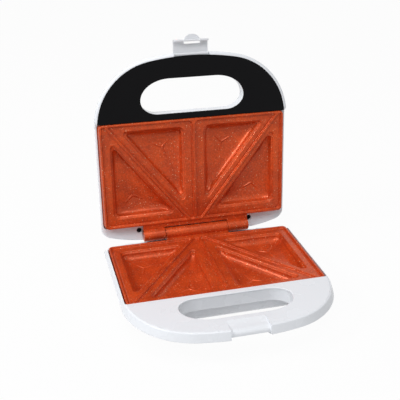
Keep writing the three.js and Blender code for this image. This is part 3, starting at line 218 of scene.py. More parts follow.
class LatchSizes(bpy.types.PropertyGroup):
    """Sizes of the swinging latch and its seat."""
    half_width: length(20, "Half width", "Half the width of the latch")
    side_gap: length(0.6, "Side gap", "Gap beside the latch")
    pivot: length(211.6, "Pivot", "From the hinge axis to the latch's pin")
    pivot_depth: length(7.6, "Pivot depth", "Pin below the rim of the lid's plate")
    barrel: length(2, "Barrel radius", "Radius around the pin")
    pin: length(0.9, "Pin radius", "Radius of the pin")
    pin_half: length(22.7, "Pin half length", "Half the length of the pin")
    plate: length(1.8, "Plate", "Thickness of the latch")
    hook_level: length(15.2, "Hook level", "From the pin to the hook")
    hook_thickness: length(1.8, "Hook", "Thickness of the hook")
    hook_reach: length(5, "Hook reach", "How far the hook reaches in front of the pin")
    window_half: length(9.5, "Window half", "Half the width of the window")
    window: length(3.4, "Window", "Height of the window")
    tab_half: length(9.4, "Tab half", "Half the width of the tab at its foot")
    tab: length(5.6, "Tab", "Height of the rounded tab")
    tab_offset: length(-1.9, "Tab offset", "From the middle of the latch to the middle of tab and window")
    seat_length: length(22, "Seat", "Length of the latch's seat in the base handle")
    seat_level: length(-2.2, "Seat level", "Level of the seat's front above the rim")
    seat_round: length(4, "Seat round", "Reach of the round at the seat's front")
    lip_front: length(211.4, "Lip front", "From the hinge axis to the front of the lip")
    lip_bottom: length(-6.9, "Lip bottom", "Underside of the lip above the rim")
    undercut: length(14, "Undercut", "Depth of the finger hollow under the lip")


class FinishColours(bpy.types.PropertyGroup):
    """Colours of the finishes."""
    casing: colour("#E8EBF0", "Casing", "White moulded casing")
    trim: colour("#060608", "Trim", "Near-black cover of the lid's handle")
    coating: colour("#D34E1C", "Coating", "Copper-coloured non-stick coating")
    coating_dark: colour("#BC4119", "Coating, darker", "Clouds in the coating")
    speck: colour("#F4C399", "Specks", "Pale flakes in the coating")
    latch: colour("#EEF0F4", "Latch", "Frosted latch")
    steel: colour("#A9ACB1", "Steel", "Plated screws and pins")
    rubber: colour("#2C2C2F", "Rubber", "Feet and cord bush")
    red_lens: colour("#C21F1A", "Red lens", "Power lamp")
    green_lens: colour("#2C9A3B", "Green lens", "Ready lamp")


class SandwichMaker(bpy.types.PropertyGroup):
    """All settings of the machine."""
    plate: PointerProperty(type=PlateSizes)
    casing: PointerProperty(type=CasingSizes)
    latch: PointerProperty(type=LatchSizes)
    finish: PointerProperty(type=FinishColours)


# Curves in plan

def rounded(corners, radii, steps=8, edge_steps=1):
    """Rounded polygon. The arc at a corner touches both edges, so its centre lies radius / sin(half angle)
    along the bisector, and each arc is the first touching point turned about that centre. Edges between
    arcs are divided evenly."""
    points = np.asarray(corners, float)
    before = np.roll(points, 1, axis=0) - points
    after = np.roll(points, -1, axis=0) - points
    lengths = np.linalg.norm(before, axis=1), np.linalg.norm(after, axis=1)
    before /= lengths[0][:, None]
    after /= lengths[1][:, None]
    half = np.arccos(np.clip((before * after).sum(1), -1, 1)) / 2
    run = np.minimum(np.broadcast_to(radii, half.shape) / np.tan(half), np.minimum(*lengths) / 2)
    radius = run * np.tan(half)
    middle = before + after
    middle /= np.linalg.norm(middle, axis=1)[:, None]
    centre = points + middle * (radius / np.sin(half))[:, None]
    first = points + before * run[:, None] - centre
    turn = (math.pi - 2 * half)[:, None] * np.linspace(0, 1, steps + 1)
    cos, sin = np.cos(turn), np.sin(turn)
    arcs = np.stack([
        centre[:, :1] + first[:, :1] * cos - first[:, 1:] * sin,
        centre[:, 1:] + first[:, :1] * sin + first[:, 1:] * cos,
    ], axis=-1)
    share = (np.arange(1, edge_steps) / edge_steps)[None, :, None]
    edges = arcs[:, -1:] * (1 - share) + np.roll(arcs[:, :1], -1, axis=0) * share
    return np.concatenate([arcs, edges], axis=1).reshape(-1, 2)


def inset_polygon(corners, distances):
    """Anticlockwise polygon whose edges move inwards, each by its own distance; its new corners are where
    neighbouring moved edges cross."""
    points = np.asarray(corners, float)
    along = np.roll(points, -1, axis=0) - points
    along /= np.linalg.norm(along, axis=1)[:, None]
    inward = np.stack([-along[:, 1], along[:, 0]], axis=1)
    start = points + inward * np.broadcast_to(distances, len(points))[:, None]
    last, last_along = np.roll(start, 1, axis=0), np.roll(along, 1, axis=0)
    reach = np.cross(start - last, along) / np.cross(last_along, along)
    return last + last_along * reach[:, None]


def smooth_line(points, steps):
    """Catmull-Rom curve: between two points a cubic whose end slopes are half the step between their
    neighbours."""
    p = np.asarray(points, float)
    p = np.concatenate([2 * p[:1] - p[1:2], p, 2 * p[-1:] - p[-2:-1]])
    a, b, c, d = (p[i:len(p) - 3 + i, None] for i in range(4))
    t = np.linspace(0, 1, steps, endpoint=False)[None, :, None]
    curve = (2 * b + (c - a) * t + (2 * a - 5 * b + 4 * c - d) * t**2 + (3 * b - a - 3 * c + d) * t**3) / 2
    return np.concatenate([curve.reshape(-1, p.shape[1]), p[-2:-1]])


def softened(points, reaches, steps=6):
    """Open line whose inner corners become parabolas, which start and end the given reaches from them."""
    points = np.asarray(points, float)
    share = np.linspace(0, 1, steps + 1)[:, None]
    curves = [points[:1]]
    for before, corner, after, reach in zip(points, points[1:], points[2:], reaches):
        start, end = (
            corner + (other - corner) * reach / np.linalg.norm(other - corner) for other in (before, after)
        )
        curves.append(start * (1 - share) ** 2 + corner * 2 * share * (1 - share) + end * share**2)
    return np.concatenate([*curves, points[-1:]])


def quarter_round(reach, steps=4):
    """Quarter circle as (inset, drop) pairs: reach times 1 - sine and times 1 - cosine of an angle that grows
    from nothing to a right angle."""
    turn = np.linspace(0, QUARTER, steps + 1)
    return list(zip(reach * (1 - np.sin(turn)), reach * (1 - np.cos(turn))))


def oblong(x_low, x_high, y_low, y_high):
    """Corners of a rectangle, anticlockwise."""
    return [(x_low, y_low), (x_high, y_low), (x_high, y_high), (x_low, y_high)]


def at_level(ring, n):
    """Plan ring as points at one level."""
    return np.column_stack([ring, np.full(len(ring), n)])


def bearing(points, centre):
    """Angle of each point about a centre: the arc tangent of its offset."""
    offset = points - centre
    return np.arctan2(offset[:, 1], offset[:, 0])


# Closed bodies: points and faces

def quads(rows, columns):
    """Faces of a grid whose rows are rings: each joins a point, its neighbour and the two above them."""
    row = np.arange(rows - 1)[:, None] * columns
    column = np.arange(columns)[None, :]
    after = (column + 1) % columns
    faces = np.stack([row + column, row + after, row + columns + after, row + columns + column], axis=-1)
    return faces.reshape(-1, 4).tolist()


def body(rings):
    """Skin over rings of equal count, flat at both ends."""
    rings = np.asarray(rings, float)
    rows, columns = rings.shape[:2]
    faces = quads(rows, columns)
    faces.append(list(range(columns))[::-1])
    faces.append(list(range((rows - 1) * columns, rows * columns)))
    return rings.reshape(-1, 3), faces


def stack(levels):
    """Body over plan rings, given with their levels from low to high."""
    return body([at_level(ring, n) for ring, n in levels])


def joined(parts):
    """Several bodies as one list of points and faces."""
    points, faces, first = [], [], 0
    for part_points, part_faces in parts:
        points.append(part_points)
        faces.extend([[i + first for i in face] for face in part_faces])
        first += len(part_points)
    return np.concatenate(points), faces


def moved(part, x=0.0, y=0.0, n=0.0):
    """The same body, shifted."""
    return part[0] + np.array([x, y, n]), part[1]


def block(x_low, x_high, y_low, y_high, n_low, n_high, radius, edge=0.0):
    """Upright block with rounded plan corners, and a quarter round of the given edge along top and bottom."""
    corners = oblong(x_low, x_high, y_low, y_high)
    rounds = quarter_round(edge) if edge else [(0.0, 0.0)]
    levels = [(inset, n_low + rise) for inset, rise in rounds]
    levels += [(inset, n_high - rise) for inset, rise in rounds[::-1]]
    return stack([
        (rounded(inset_polygon(corners, inset), max(radius - inset, LEAST_RADIUS)), n) for inset, n in levels
    ])


def cylinder(x, y, n_low, n_high, radius, sides=40):
    """Upright cylinder."""
    return moved(turned([(radius, n_low), (radius, n_high)], sides), x, y)


def spun(profile, sides):
    """Rings of a (radius, height) profile carried round the n axis: radius times cosine, radius times sine
    and the height."""
    radius, height = np.asarray(profile, float).T[..., None]
    turn = np.arange(sides) * 2 * math.pi / sides
    return np.stack(np.broadcast_arrays(radius * np.cos(turn), radius * np.sin(turn), height), axis=-1)


def turned(profile, sides=48):
    """Closed body of revolution over an open profile, whose points on the axis keep a tiny radius."""
    return body(spun([(max(radius, LEAST_RADIUS / 10), height) for radius, height in profile], sides))


def tube_ring(profile, sides=56):
    """Ring of revolution over a closed profile, joined to itself."""
    points = spun(profile, sides).reshape(-1, 3)
    faces = [[i % len(points) for i in face] for face in quads(len(profile) + 1, sides)]
    return points, faces


def laid_along_x(part, x=0.0, y=0.0, n=0.0):
    """A body turned so that its n axis runs along x."""
    return moved((part[0][:, [2, 0, 1]], part[1]), x, y, n)


def laid_along_y(part, x=0.0, y=0.0, n=0.0):
    """A body turned so that its n axis runs forwards."""
    return moved((part[0][:, [0, 2, 1]] * [1, -1, 1], part[1]), x, y, n)


def round_bar(radius, half, edge, bore=0.0):
    """Profile from -half to half of a bar, or of a tube round a bore, with rounded ends."""
    rounds = quarter_round(edge)
    low = [(radius - inset, drop - half) for inset, drop in rounds]
    high = [(radius - inset, half - drop) for inset, drop in rounds[::-1]]
    return [(bore, -half), *low, *high, (bore, half)]


# Meshes and pieces

def mesh_of(*parts):
    """Mesh of one or more bodies, with doubles merged and faces turned outwards."""
    points, faces = joined(parts)
    mesh = bpy.data.meshes.new("shape")
    mesh.from_pydata(points.tolist(), [], faces)
    work = bmesh.new()
    work.from_mesh(mesh)
    bmesh.ops.remove_doubles(work, verts=work.verts, dist=SAME_POINT)
    bmesh.ops.recalc_face_normals(work, faces=work.faces)
    work.to_mesh(mesh)
    work.free()
    return mesh


def part_of(mesh):
    """Points and faces of a mesh."""
    return np.array([vertex.co for vertex in mesh.vertices]), [list(face.vertices) for face in mesh.polygons]


def combine(mesh, operation, parts):
    """One boolean of a closed mesh with several closed bodies."""
    tools = bpy.data.collections.new("tools")
    for part in parts:
        tools.objects.link(bpy.data.objects.new("tool", mesh_of(part)))
    host = bpy.data.objects.new("host", mesh)
    bpy.context.scene.collection.objects.link(host)
    bpy.context.scene.collection.children.link(tools)
    modifier = host.modifiers.new("combine", "BOOLEAN")
    modifier.operation = operation
    modifier.operand_type = "COLLECTION"
    modifier.collection = tools
    modifier.solver = "MANIFOLD"
    evaluated = host.evaluated_get(bpy.context.evaluated_depsgraph_get())
    result = bpy.data.meshes.new_from_object(evaluated)
    for thing in [host, *tools.objects]:
        bpy.data.objects.remove(thing)
    bpy.data.collections.remove(tools)
    return result


def add_piece(name, mesh, rides_on, slot, node, drawn_in=None, finish=None, sharp=34):
    """Piece from a mesh drawn in the frame of its body, or of the one named: placed in its vertices, shaded
    smooth below the sharp angle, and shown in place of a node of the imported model."""
    points = np.empty(len(mesh.vertices) * 3)
    mesh.vertices.foreach_get("co", points)
    mesh.vertices.foreach_set("co", PLACES[drawn_in or rides_on](points.reshape(-1, 3)).ravel())
    mesh.name = name
    mesh.materials.clear()
    mesh.materials.append(MATERIALS[finish or slot])
    mesh.polygons.foreach_set("material_index", np.zeros(len(mesh.polygons), np.int32))
    mesh.polygons.foreach_set("use_smooth", np.ones(len(mesh.polygons), bool))
    mesh.set_sharp_from_angle(angle=math.radians(sharp))
    mesh.update()
    piece = bpy.data.objects.new(name, mesh)
    bpy.context.scene.collection.objects.link(piece)
    piece.modifiers.new("even shading", "WEIGHTED_NORMAL").keep_sharp = True
    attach(piece, rides_on)
    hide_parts(node)


def settings():
    """All settings of the machine, from the scene."""
    return bpy.context.scene.sandwich_maker


def on_base(points):
    """Half frame to machine, base: y from the hinge axis, n from the lower plate's rim."""
    rim = AXIS[2] - settings().plate.axis_above_rim
    return points + np.array([0.0, AXIS[1], rim])


def on_lid(points):
    """Half frame to machine, lid: turned face down about the hinge axis, then opened by the open angle."""
    beyond = points[:, 2] + settings().plate.lid_axis
    cos, sin = math.cos(OPEN_ANGLE), math.sin(OPEN_ANGLE)
    return np.stack([
        -points[:, 0],
        AXIS[1] + points[:, 1] * cos - beyond * sin,
        AXIS[2] - points[:, 1] * sin - beyond * cos,
    ], axis=1)


def on_latch(points):
    """Latch frame to machine: its pin lies at the lid's handle."""
    q = settings().latch
    return on_lid(points + np.array([0.0, -q.pivot, -q.pivot_depth]))


PLACES = {"base": on_base, "lid": on_lid, "latch": on_latch}
HALVES = ("base", "lid")


# Plates

CASTING_ROUND = 0.6 * MM
WEB_REACH = 1.5 * MM
WEB_EDGE = 0.4 * MM
LUG_HALF = 6 * MM
LUG_EDGE = 0.5 * MM
LUG_BOTTOM = -19.8 * MM
LUG_TOP = -13.8 * MM


def plate_middle(z):
    """Middle of a plate in plan, and half the size of the rectangle between its corners' centres."""
    middle = np.array([0.0, -(z.setback + z.depth / 2)])
    return middle, np.array([z.width / 2 - z.corner, z.depth / 2 - z.corner])


def plate_lines(z):
    """Edges of the ledge area, and where the middle of the diagonal ridge meets its rear and front."""
    outer = z.width / 2 - z.rim
    inner = z.centre_ridge / 2
    rear = -(z.setback + z.rim)
    front = -(z.setback + z.depth - z.rim)
    return outer, inner, rear, front, z.diagonal_rear, outer - z.diagonal_front


def border(corners, counts):
    """Points along a polygon's edges that crowd towards its corners, by (1 - cosine) / 2 along an edge."""
    corners = np.asarray(corners, float)
    edges = []
    for start, end, count in zip(corners, np.roll(corners, -1, axis=0), counts):
        share = (1 - np.cos(math.pi * np.arange(count) / count)) / 2
        edges.append(start + (end - start) * share[:, None])
    return np.concatenate(edges)


def diagonal_x(z, y):
    """Where the diagonal ridge's straight middle line is at a given y: as far between its ends as y is."""
    _, _, rear, front, at_rear, at_front = plate_lines(z)
    return at_rear + (at_front - at_rear) * (y - rear) / (front - rear)


def plate_fields(z, inset):
    """The two fields of the right half, either side of the diagonal, as sampled borders."""
    half = z.width / 2 - inset
    rear = -(z.setback + inset)
    front = -(z.setback + z.depth - inset)
    at_rear, at_front = diagonal_x(z, rear), diagonal_x(z, front)
    inner = [(0, front), (at_front, front), (at_rear, rear), (0, rear)]
    outer = [(at_front, front), (half, front), (half, rear), (at_rear, rear)]
    return [border(inner, (44, 60, 14, 52)), border(outer, (14, 52, 48, 60))]


def pocket_triangles(z):
    """Pockets of the right half: triangles between ledge edges and diagonal, moved in by the ledges' widths,
    each with its corners' radii."""
    outer, inner, rear, front, at_rear, at_front = plate_lines(z)
    rise = (front - rear) / (at_front - at_rear)
    near = inset_polygon(
        [(inner, front), (at_front, front), (inner, rear + (inner - at_rear) * rise)],
        [z.ledge_front, z.ledge_diagonal_front, z.ledge_inner],
    )
    far = inset_polygon(
        [(outer, rear + (outer - at_rear) * rise), (outer, rear), (at_rear, rear)],
        [z.ledge_outer, z.ledge_rear, z.ledge_diagonal_rear],
    )
    tip, corner = z.pocket_tip, z.pocket_corner
    return [(near, np.array([corner, tip, tip])), (far, np.array([tip, corner, tip]))]


def cell_outlines(z):
    """Outlines of the ledges on the right half, clear of the diagonal ridge by half its width, each with its
    corners' radii."""
    outer, inner, rear, front, at_rear, at_front = plate_lines(z)
    half = z.diagonal_ridge / 2
    near = [(inner, front), (at_front, front), (at_rear, rear), (inner, rear)]
    far = [(at_front, front), (outer, front), (outer, rear), (at_rear, rear)]
    tip, corner = z.cell_tip, z.cell_corner
    return [
        (inset_polygon(near, [0, half, 0, 0]), np.array([corner, tip, tip, tip])),
        (inset_polygon(far, [0, 0, 0, half]), np.array([tip, tip, corner, tip])),
    ]


def incentre(triangle):
    """Centre of the inscribed circle: corners weighted by the lengths of the sides opposite to them."""
    sides = np.linalg.norm(np.roll(triangle, -1, axis=0) - np.roll(triangle, -2, axis=0), axis=1)
    return (triangle * sides[:, None]).sum(0) / sides.sum()


def rays_to(ring, centre, angles):
    """Points where rays from a centre meet a ring: its radius is read by angle from a finely divided copy."""
    share = np.linspace(0, 1, 48, endpoint=False)[None, :, None]
    fine = (ring[:, None] * (1 - share) + np.roll(ring, -1, axis=0)[:, None] * share).reshape(-1, 2)
    turn = bearing(fine, centre)
    order = np.argsort(turn)
    radii = np.hypot(*(fine - centre).T)
    radius = np.interp(angles, turn[order], radii[order], period=2 * math.pi)
    return centre + radius[:, None] * np.stack([np.cos(angles), np.sin(angles)], axis=1)


def rounded_corner(points, z, inset):
    """Points of a plate's sharp border drawn onto its corner arcs: those past a corner's centre go to the
    corner's radius from it."""
    middle, core = plate_middle(z)
    nearest = np.clip(points - middle, -core, core)
    away = points - middle - nearest
    distance = np.linalg.norm(away, axis=1)
    past = (np.abs(away) > 1e-9).all(axis=1)
    scale = np.where(past, (z.corner - inset) / np.maximum(distance, 1e-9), 1.0)
    return middle + nearest + away * scale[:, None]


def field_top(z, samples, cell, pocket):
    """Top of one field as rings from its border to the middle of its pocket: flat ridge, rounded edge, ledge
    fillet, shallow channel, flat ledge, rounded pocket edge, drafted wall, foot fillet and a floor falling to
    the middle. Rays rise from the floor where the distance to a line from the middle to a corner is small:
    their rise follows 3 s^2 - 2 s^3, and s is 1.5 less that distance over half the ray's width."""
    triangle, pocket_radii = pocket
    outline, cell_radii = cell
    centre = incentre(triangle)
    angles = bearing(samples, centre)

    def cell_ring(d):
        return rays_to(rounded(inset_polygon(outline, d), cell_radii + max(-d, 0.0)), centre, angles)

    def pocket_ring(d):
        return rays_to(rounded(inset_polygon(triangle, d), pocket_radii + max(-d, 0.0), 12), centre, angles)

    lean = 0.25 * MM
    bottom = -z.step - z.channel_depth
    shoulder = -z.step - z.channel_depth / 4
    inner_edge = lean + z.ledge_fillet
    channel = ((0.3, bottom), (0.75, shoulder), (1, -z.step))
    rings = [(rounded_corner(samples, z, z.bevel), 0.0)]
    rings += [(cell_ring(-inset), -drop) for inset, drop in quarter_round(z.ridge_round)]
    rings += [(cell_ring(lean + drop), bottom + inset) for inset, drop in quarter_round(z.ledge_fillet)]
    rings += [(cell_ring(inner_edge + z.channel * share), n) for share, n in channel]
    rings += [((rings[-1][0] + pocket_ring(-z.pocket_edge)) / 2, -z.step)]
    rings += [(pocket_ring(-inset), -z.step - drop) for inset, drop in quarter_round(z.pocket_edge)]
    top, foot = -z.step - z.pocket_edge, -z.pocket_depth + z.pocket_fillet
    rings += [(pocket_ring(share * z.pocket_draft), top + (foot - top) * share) for share in (0.35, 0.7)]
    rings += [
        (pocket_ring(z.pocket_draft + drop), inset - z.pocket_depth)
        for inset, drop in quarter_round(z.pocket_fillet, 7)
    ]
    floor = rings[-1][0]
    shares = np.linspace(1, 0, 19)[1:]
    local = (floor - centre) * shares[:, None, None]
    fall = -z.pocket_depth - z.pocket_dish * (1 - shares[:, None])
    toward = triangle - centre
    toward /= np.linalg.norm(toward, axis=1)[:, None]
    reach = np.clip(np.einsum("rcd,kd->rck", local, toward), 0, z.ray_length)
    gap = np.linalg.norm(local[:, :, None] - reach[..., None] * toward, axis=-1).min(axis=-1)
    near = np.clip(1.5 - gap / (z.ray_width / 2), 0, 1)
    crest = -z.pocket_depth - z.pocket_dish + z.ray_rise
    height = fall + np.maximum(crest - fall, 0) * near * near * (3 - 2 * near)
    levels = np.stack([at_level(ring, n) for ring, n in rings])
    return np.concatenate([levels, np.concatenate([centre + local, height[..., None]], axis=-1)])


def field_underside(z, samples, pocket):
    """Underside of one field: flat web, then the outside of the pocket, one wall away from its inside."""
    triangle, radii = pocket
    centre = incentre(triangle)
    angles = bearing(samples, centre)
    web = -z.step - z.wall
    floor = -z.pocket_depth - z.wall
    lean = z.pocket_draft - z.wall
    insets = [-z.wall, -z.wall, lean, lean + z.pocket_fillet / 2, lean + z.pocket_fillet]
    levels = [web, web - MM, floor + z.pocket_fillet, floor + z.pocket_fillet / 3, floor]
    rings = [at_level(rounded_corner(samples, z, z.wall), web)]
    for inset, n in zip(insets, levels):
        ring = rounded(inset_polygon(triangle, inset), radii + z.wall, 12)
        rings.append(at_level(rays_to(ring, centre, angles), n))
    tip = np.broadcast_to([*centre, floor - z.pocket_dish], rings[-1].shape)
    return np.stack([*rings, tip])


def mirrored(part):
    """The same surface on the other side of the middle plane, with its faces turned to match."""
    points, faces = part
    return points * np.array([-1, 1, 1]), [face[::-1] for face in faces]


def border_loop(fields, z, inset):
    """The outermost points of the fields, in order round the plate's middle."""
    middle, _ = plate_middle(z)
    half = np.array([z.width / 2 - inset, z.depth / 2 - inset])
    points = np.concatenate(fields)
    points = np.concatenate([points, points * [-1, 1]])
    on_edge = (np.abs(np.abs(points - middle) - half) < 1e-8).any(axis=1)
    points = np.unique(np.round(points[on_edge], 9), axis=0)
    turn = np.mod(bearing(points, middle) - 0.1, 2 * math.pi)
    return rounded_corner(points[np.argsort(turn)], z, inset)


def plate_part(z):
    """Whole casting: four fields above, four below, and the skirt between them, whose profile of (offset, n)
    follows the outline along its normals."""
    above, below = plate_fields(z, z.bevel), plate_fields(z, z.wall)
    parts = []
    for top, under, cell, pocket in zip(above, below, cell_outlines(z), pocket_triangles(z)):
        for rings in (field_top(z, top, cell, pocket), field_underside(z, under, pocket)):
            part = rings.reshape(-1, 3), quads(*rings.shape[:2])
            parts += [part, mirrored(part)]
    outer = border_loop(above, z, z.bevel)
    inner = border_loop(below, z, z.wall)
    middle, core = plate_middle(z)
    normals = outer - middle - np.clip(outer - middle, -core, core)
    normals /= np.linalg.norm(normals, axis=1)[:, None]
    reach = z.bevel + z.flare
    profile = [(z.bevel - inset, -drop) for inset, drop in quarter_round(z.bevel)]
    profile += [(z.bevel + z.flare / 2, -z.skirt / 2)]
    profile += [(reach - drop, inset - z.skirt) for inset, drop in quarter_round(CASTING_ROUND)]
    rings = [at_level(outer + normals * offset, n) for offset, n in profile]
    rings = np.stack([*rings, at_level(inner, -z.skirt), at_level(inner, -z.step - z.wall)])
    parts.append((rings.reshape(-1, 3), [face[::-1] for face in quads(*rings.shape[:2])]))
    return joined(parts)


def knuckle_parts(z, axis, spans):
    """Barrels cast on the plate, each a ring of revolution with rounded ends, and the webs that hold them."""
    parts = []
    for low, high in spans:
        profile = round_bar(z.barrel, (high - low) / 2, CASTING_ROUND, z.pin + CLEARANCE)
        parts.append(laid_along_x(tube_ring(profile), (low + high) / 2, 0, axis))
        parts.append(block(
            low, high, -z.setback - z.wall / 2, -(z.pin + WEB_REACH), -z.web_bottom, -z.web_top,
            WEB_EDGE, WEB_EDGE,
        ))
    return parts


def lug_parts(z):
    """Bridge between the webs of the upper plate, and the lugs that the lid's rear screws bite."""
    reach = z.centre_barrel + z.knuckle_gap + CLEARANCE
    parts = [block(
        -reach, reach, -z.setback - z.wall / 2, -z.barrel - z.bridge_gap, -z.web_bottom, -z.web_top,
        0.1 * MM, LUG_EDGE,
    )]
    for side in (1, -1):
        low, high = side * rear_screw_x(z) - LUG_HALF, side * rear_screw_x(z) + LUG_HALF
        parts.append(block(
            low, high, -z.setback - z.wall, -CLEARANCE, LUG_BOTTOM, LUG_TOP, 3 * LUG_EDGE, LUG_EDGE,
        ))
        parts.append(block(
            low, high, -z.setback - z.wall, -z.setback, LUG_BOTTOM, CLEARANCE - z.skirt, WEB_EDGE,
        ))
    return parts


def hinge_half(z):
    """Half the length of the whole hinge."""
    return z.centre_barrel + z.knuckle_gap + z.knuckle


def rear_screw_x(z):
    """Distance of a rear screw from the middle: just past the end of the hinge."""
    return hinge_half(z) + 4 * MM


def boss_places(z):
    """Places of the bosses on the diagonal, as shares of its run from rear to front."""
    _, _, rear, front, _, _ = plate_lines(z)
    levels = [rear + (front - rear) * share for share in (0.12, 0.8)]
    return [(side * diagonal_x(z, y), y) for y in levels for side in (1, -1)]


# Casings

SCREW_HOLE = 1.8 * MM
SCREW_WELL = 3.3 * MM  # radius of a well, and below its depths by kind
REAR_SCREW_Y = -5.5 * MM
BASE_WELL = 6 * MM
COVER_WELL = 3.5 * MM
REAR_WELL = 4 * MM
BUSH_LEVEL = -25 * MM
LAMP_X = 10 * MM
BASE_FOOT_ROUND = 0.5 * MM
# Share of the inset against share of the depth, from the rim down to the floor.
BOWL_PROFILE = [(0.03, 0.0), (0.14, 0.45), (0.24, 0.68), (0.42, 0.84), (0.7, 0.96), (1.0, 1.0)]


def casing_ring(c, inset, rear_inset, radius, reach, bow):
    """Plan of a casing: a rounded rectangle whose rear corners are drawn forward by bow times the fourth
    power of the distance across and the square of the distance back."""
    half = c.half_width - inset
    rear, front = reach - rear_inset, -(c.front - inset)
    ring = rounded(oblong(-half, half, front, rear), radius, 14, 16)
    across = np.abs(ring[:, 0]) / c.half_width
    back = (ring[:, 1] - front) / (rear - front)
    return ring - np.column_stack([np.zeros(len(ring)), bow * across**4 * back**2])


def bowl(c, half_name, wall=0.0):
    """Bowl of a casing. Its profile of inset against depth is a smooth line, and the corner radius grows with
    the 0.7 power of the inset's share. With a wall it is the hollow inside."""
    reach, bow = (c.base_reach, c.base_bow) if half_name == "base" else (c.lid_reach, c.lid_bow)
    line = smooth_line(BOWL_PROFILE, 7)
    share, depth = np.clip(line[:, 0], BOWL_PROFILE[0][0], 1), np.clip(line[:, 1], 0, 1)
    level = -c.rim_drop - (c.depth - c.rim_drop) * depth
    if wall:
        inside = np.linspace(-c.rim_drop - c.flange, wall - c.depth, 22)
        share, level = np.interp(-inside, -level, share), inside
        extra = np.full(len(inside), wall)
    else:
        rounds = quarter_round(c.rim_round)[:-1]
        drop = 0.8 * c.rim_round
        edge = [-c.rim_drop - 0.8 * fall for _, fall in rounds]
        share = np.concatenate([np.full(len(rounds), share[0]), share])
        level = np.concatenate([edge, level])
        level[len(rounds)] -= drop
        extra = np.concatenate([[inset for inset, _ in rounds], np.zeros(len(line))])
    rings = []
    for s, n, more in zip(share, level, extra):
        corner = c.corner_least + (c.corner_most - c.corner_least) * s**0.7
        rings.append((casing_ring(c, c.inset * s + more, c.rear_inset * s + more, corner, reach, bow), n))
    return stack(rings[::-1])


def handle_ring(c, inset, back, corner):
    """Plan of a handle. A flat front arc meets two corner arcs tangentially, at the angle whose sine is the
    corner centres' distance across over the difference of the radii; the rear edge has rounded corners."""
    front_centre = c.apex - c.front_radius
    across = c.half_width - c.corner_radius
    reach = c.front_radius - c.corner_radius
    corner_centre = front_centre + math.sqrt(reach**2 - across**2)
    tangent = math.asin(across / reach)
    near, far = c.corner_radius - inset, c.front_radius - inset
    last = math.acos(max(-1.0, min(1.0, (back + corner - corner_centre) / near)))
    side = np.linspace(last, tangent, 30)
    front = np.linspace(tangent, 0, 15)[1:]
    side_x = across + near * np.sin(side)
    turn = np.linspace(0, QUARTER, 7)[:-1]
    x = np.concatenate([side_x[0] - corner * (1 - np.sin(turn)), side_x, far * np.sin(front)])
    s = np.concatenate([
        back + corner * (1 - np.cos(turn)), corner_centre + near * np.cos(side),
        front_centre + far * np.cos(front),
    ])
    right = np.column_stack([x, -s])[::-1]
    return np.concatenate([right, right[:0:-1] * [-1, 1]])


def lid_handle(c):
    """Lid's handle: an elliptic underside up to the widest level, then a quarter ellipse up to the deck. On
    that one the rear edge draws forward too."""
    run, drop = c.lid_edge_run, c.lid_edge_drop
    widest = c.lid_deck - drop
    levels = [
        (c.under_run * (1 - math.cos(a)), c.back, widest - (c.thickness - drop) * math.sin(a))
        for a in np.linspace(QUARTER, 0, 16)
    ]
    levels += [
        (run * (1 - math.cos(a)), c.back + run * (1 - math.cos(a)), widest + drop * math.sin(a))
        for a in np.linspace(0, QUARTER, 10)[1:]
    ]
    return stack([(handle_ring(c, inset, back, c.back_radius), n) for inset, back, n in levels])


def base_handle(c):
    """Base's handle: a shallow underside, a crisp foot, a leaning wall and a small round to the deck."""
    line = softened([
        (c.under_run, -c.thickness), (c.under_run * 0.52, -c.thickness + 1.5 * MM), (0, -c.base_wall_drop),
        (c.base_wall_run, 0), (c.base_wall_run + 2 * c.base_edge, 0),
    ], [8 * MM, BASE_FOOT_ROUND, c.base_edge])
    return stack([(handle_ring(c, inset, c.back, c.base_corner), c.base_deck + n) for inset, n in line])


def base_rails(c, z):
    """Sides of the base's casing beside the plate: the handle's leaning wall led on to the rear, where it
    slopes down, as one block that the plate's opening divides."""
    drop, slope, behind, corner = 1.2 * MM, 1.3, 5 * MM, 2.5 * MM
    top = c.base_deck - drop
    line = softened([
        (c.rim_round, -c.rim_drop - 1.5 * c.rim_round), (0, c.base_deck - c.base_wall_drop),
        (c.base_wall_run, top), (c.base_wall_run + 2 * c.base_edge, top),
    ], [BASE_FOOT_ROUND, BASE_FOOT_ROUND])
    front = -c.back - 3 * MM
    rings = []
    for inset, n in line:
        half = c.half_width - inset
        rear = -z.setback - behind + slope * (top - n)
        rings.append((rounded(oblong(-half, half, front, rear), corner), n))
    return stack(rings)


def opening_ring(c, offset):
    """Plan of a handle's opening: straight in front and at the rear, joined by quarter ellipses that meet
    where the opening is widest."""
    turn = np.linspace(0, QUARTER, 17)
    front = np.column_stack([
        c.opening_half_length - c.opening_front_run + (c.opening_front_run + offset) * np.sin(turn),
        -c.opening_waist - (c.opening_front + offset) * np.cos(turn),
    ])
    rear = np.column_stack([
        c.opening_half_length - c.opening_rear_run + (c.opening_rear_run + offset) * np.cos(turn),
        -c.opening_waist + (c.opening_rear + offset) * np.sin(turn),
    ])
    right = np.concatenate([front, rear[1:]])
    return np.concatenate([right, right[::-1] * [-1, 1]])


def opening_part(c, deck):
    """Hand opening as a cutter: straight, with a quarter round at the deck and another at the underside."""
    bottom = deck - c.thickness
    edge = 0.8 * MM
    levels = [(c.opening_flare, bottom - OVERRUN)]
    levels += [(inset, bottom + drop) for inset, drop in quarter_round(c.opening_flare, 6)]
    levels += [(drop, deck - inset) for inset, drop in quarter_round(edge, 6)]
    levels += [(edge, deck + OVERRUN)]
    return stack([(opening_ring(c, offset), n) for offset, n in levels])


def half_deck(c, half_name):
    """Deck level of one half's handle, and how far its edge reaches in to the cover."""
    if half_name == "base":
        return c.base_deck, c.base_wall_run + c.base_edge
    return c.lid_deck, c.lid_edge_run


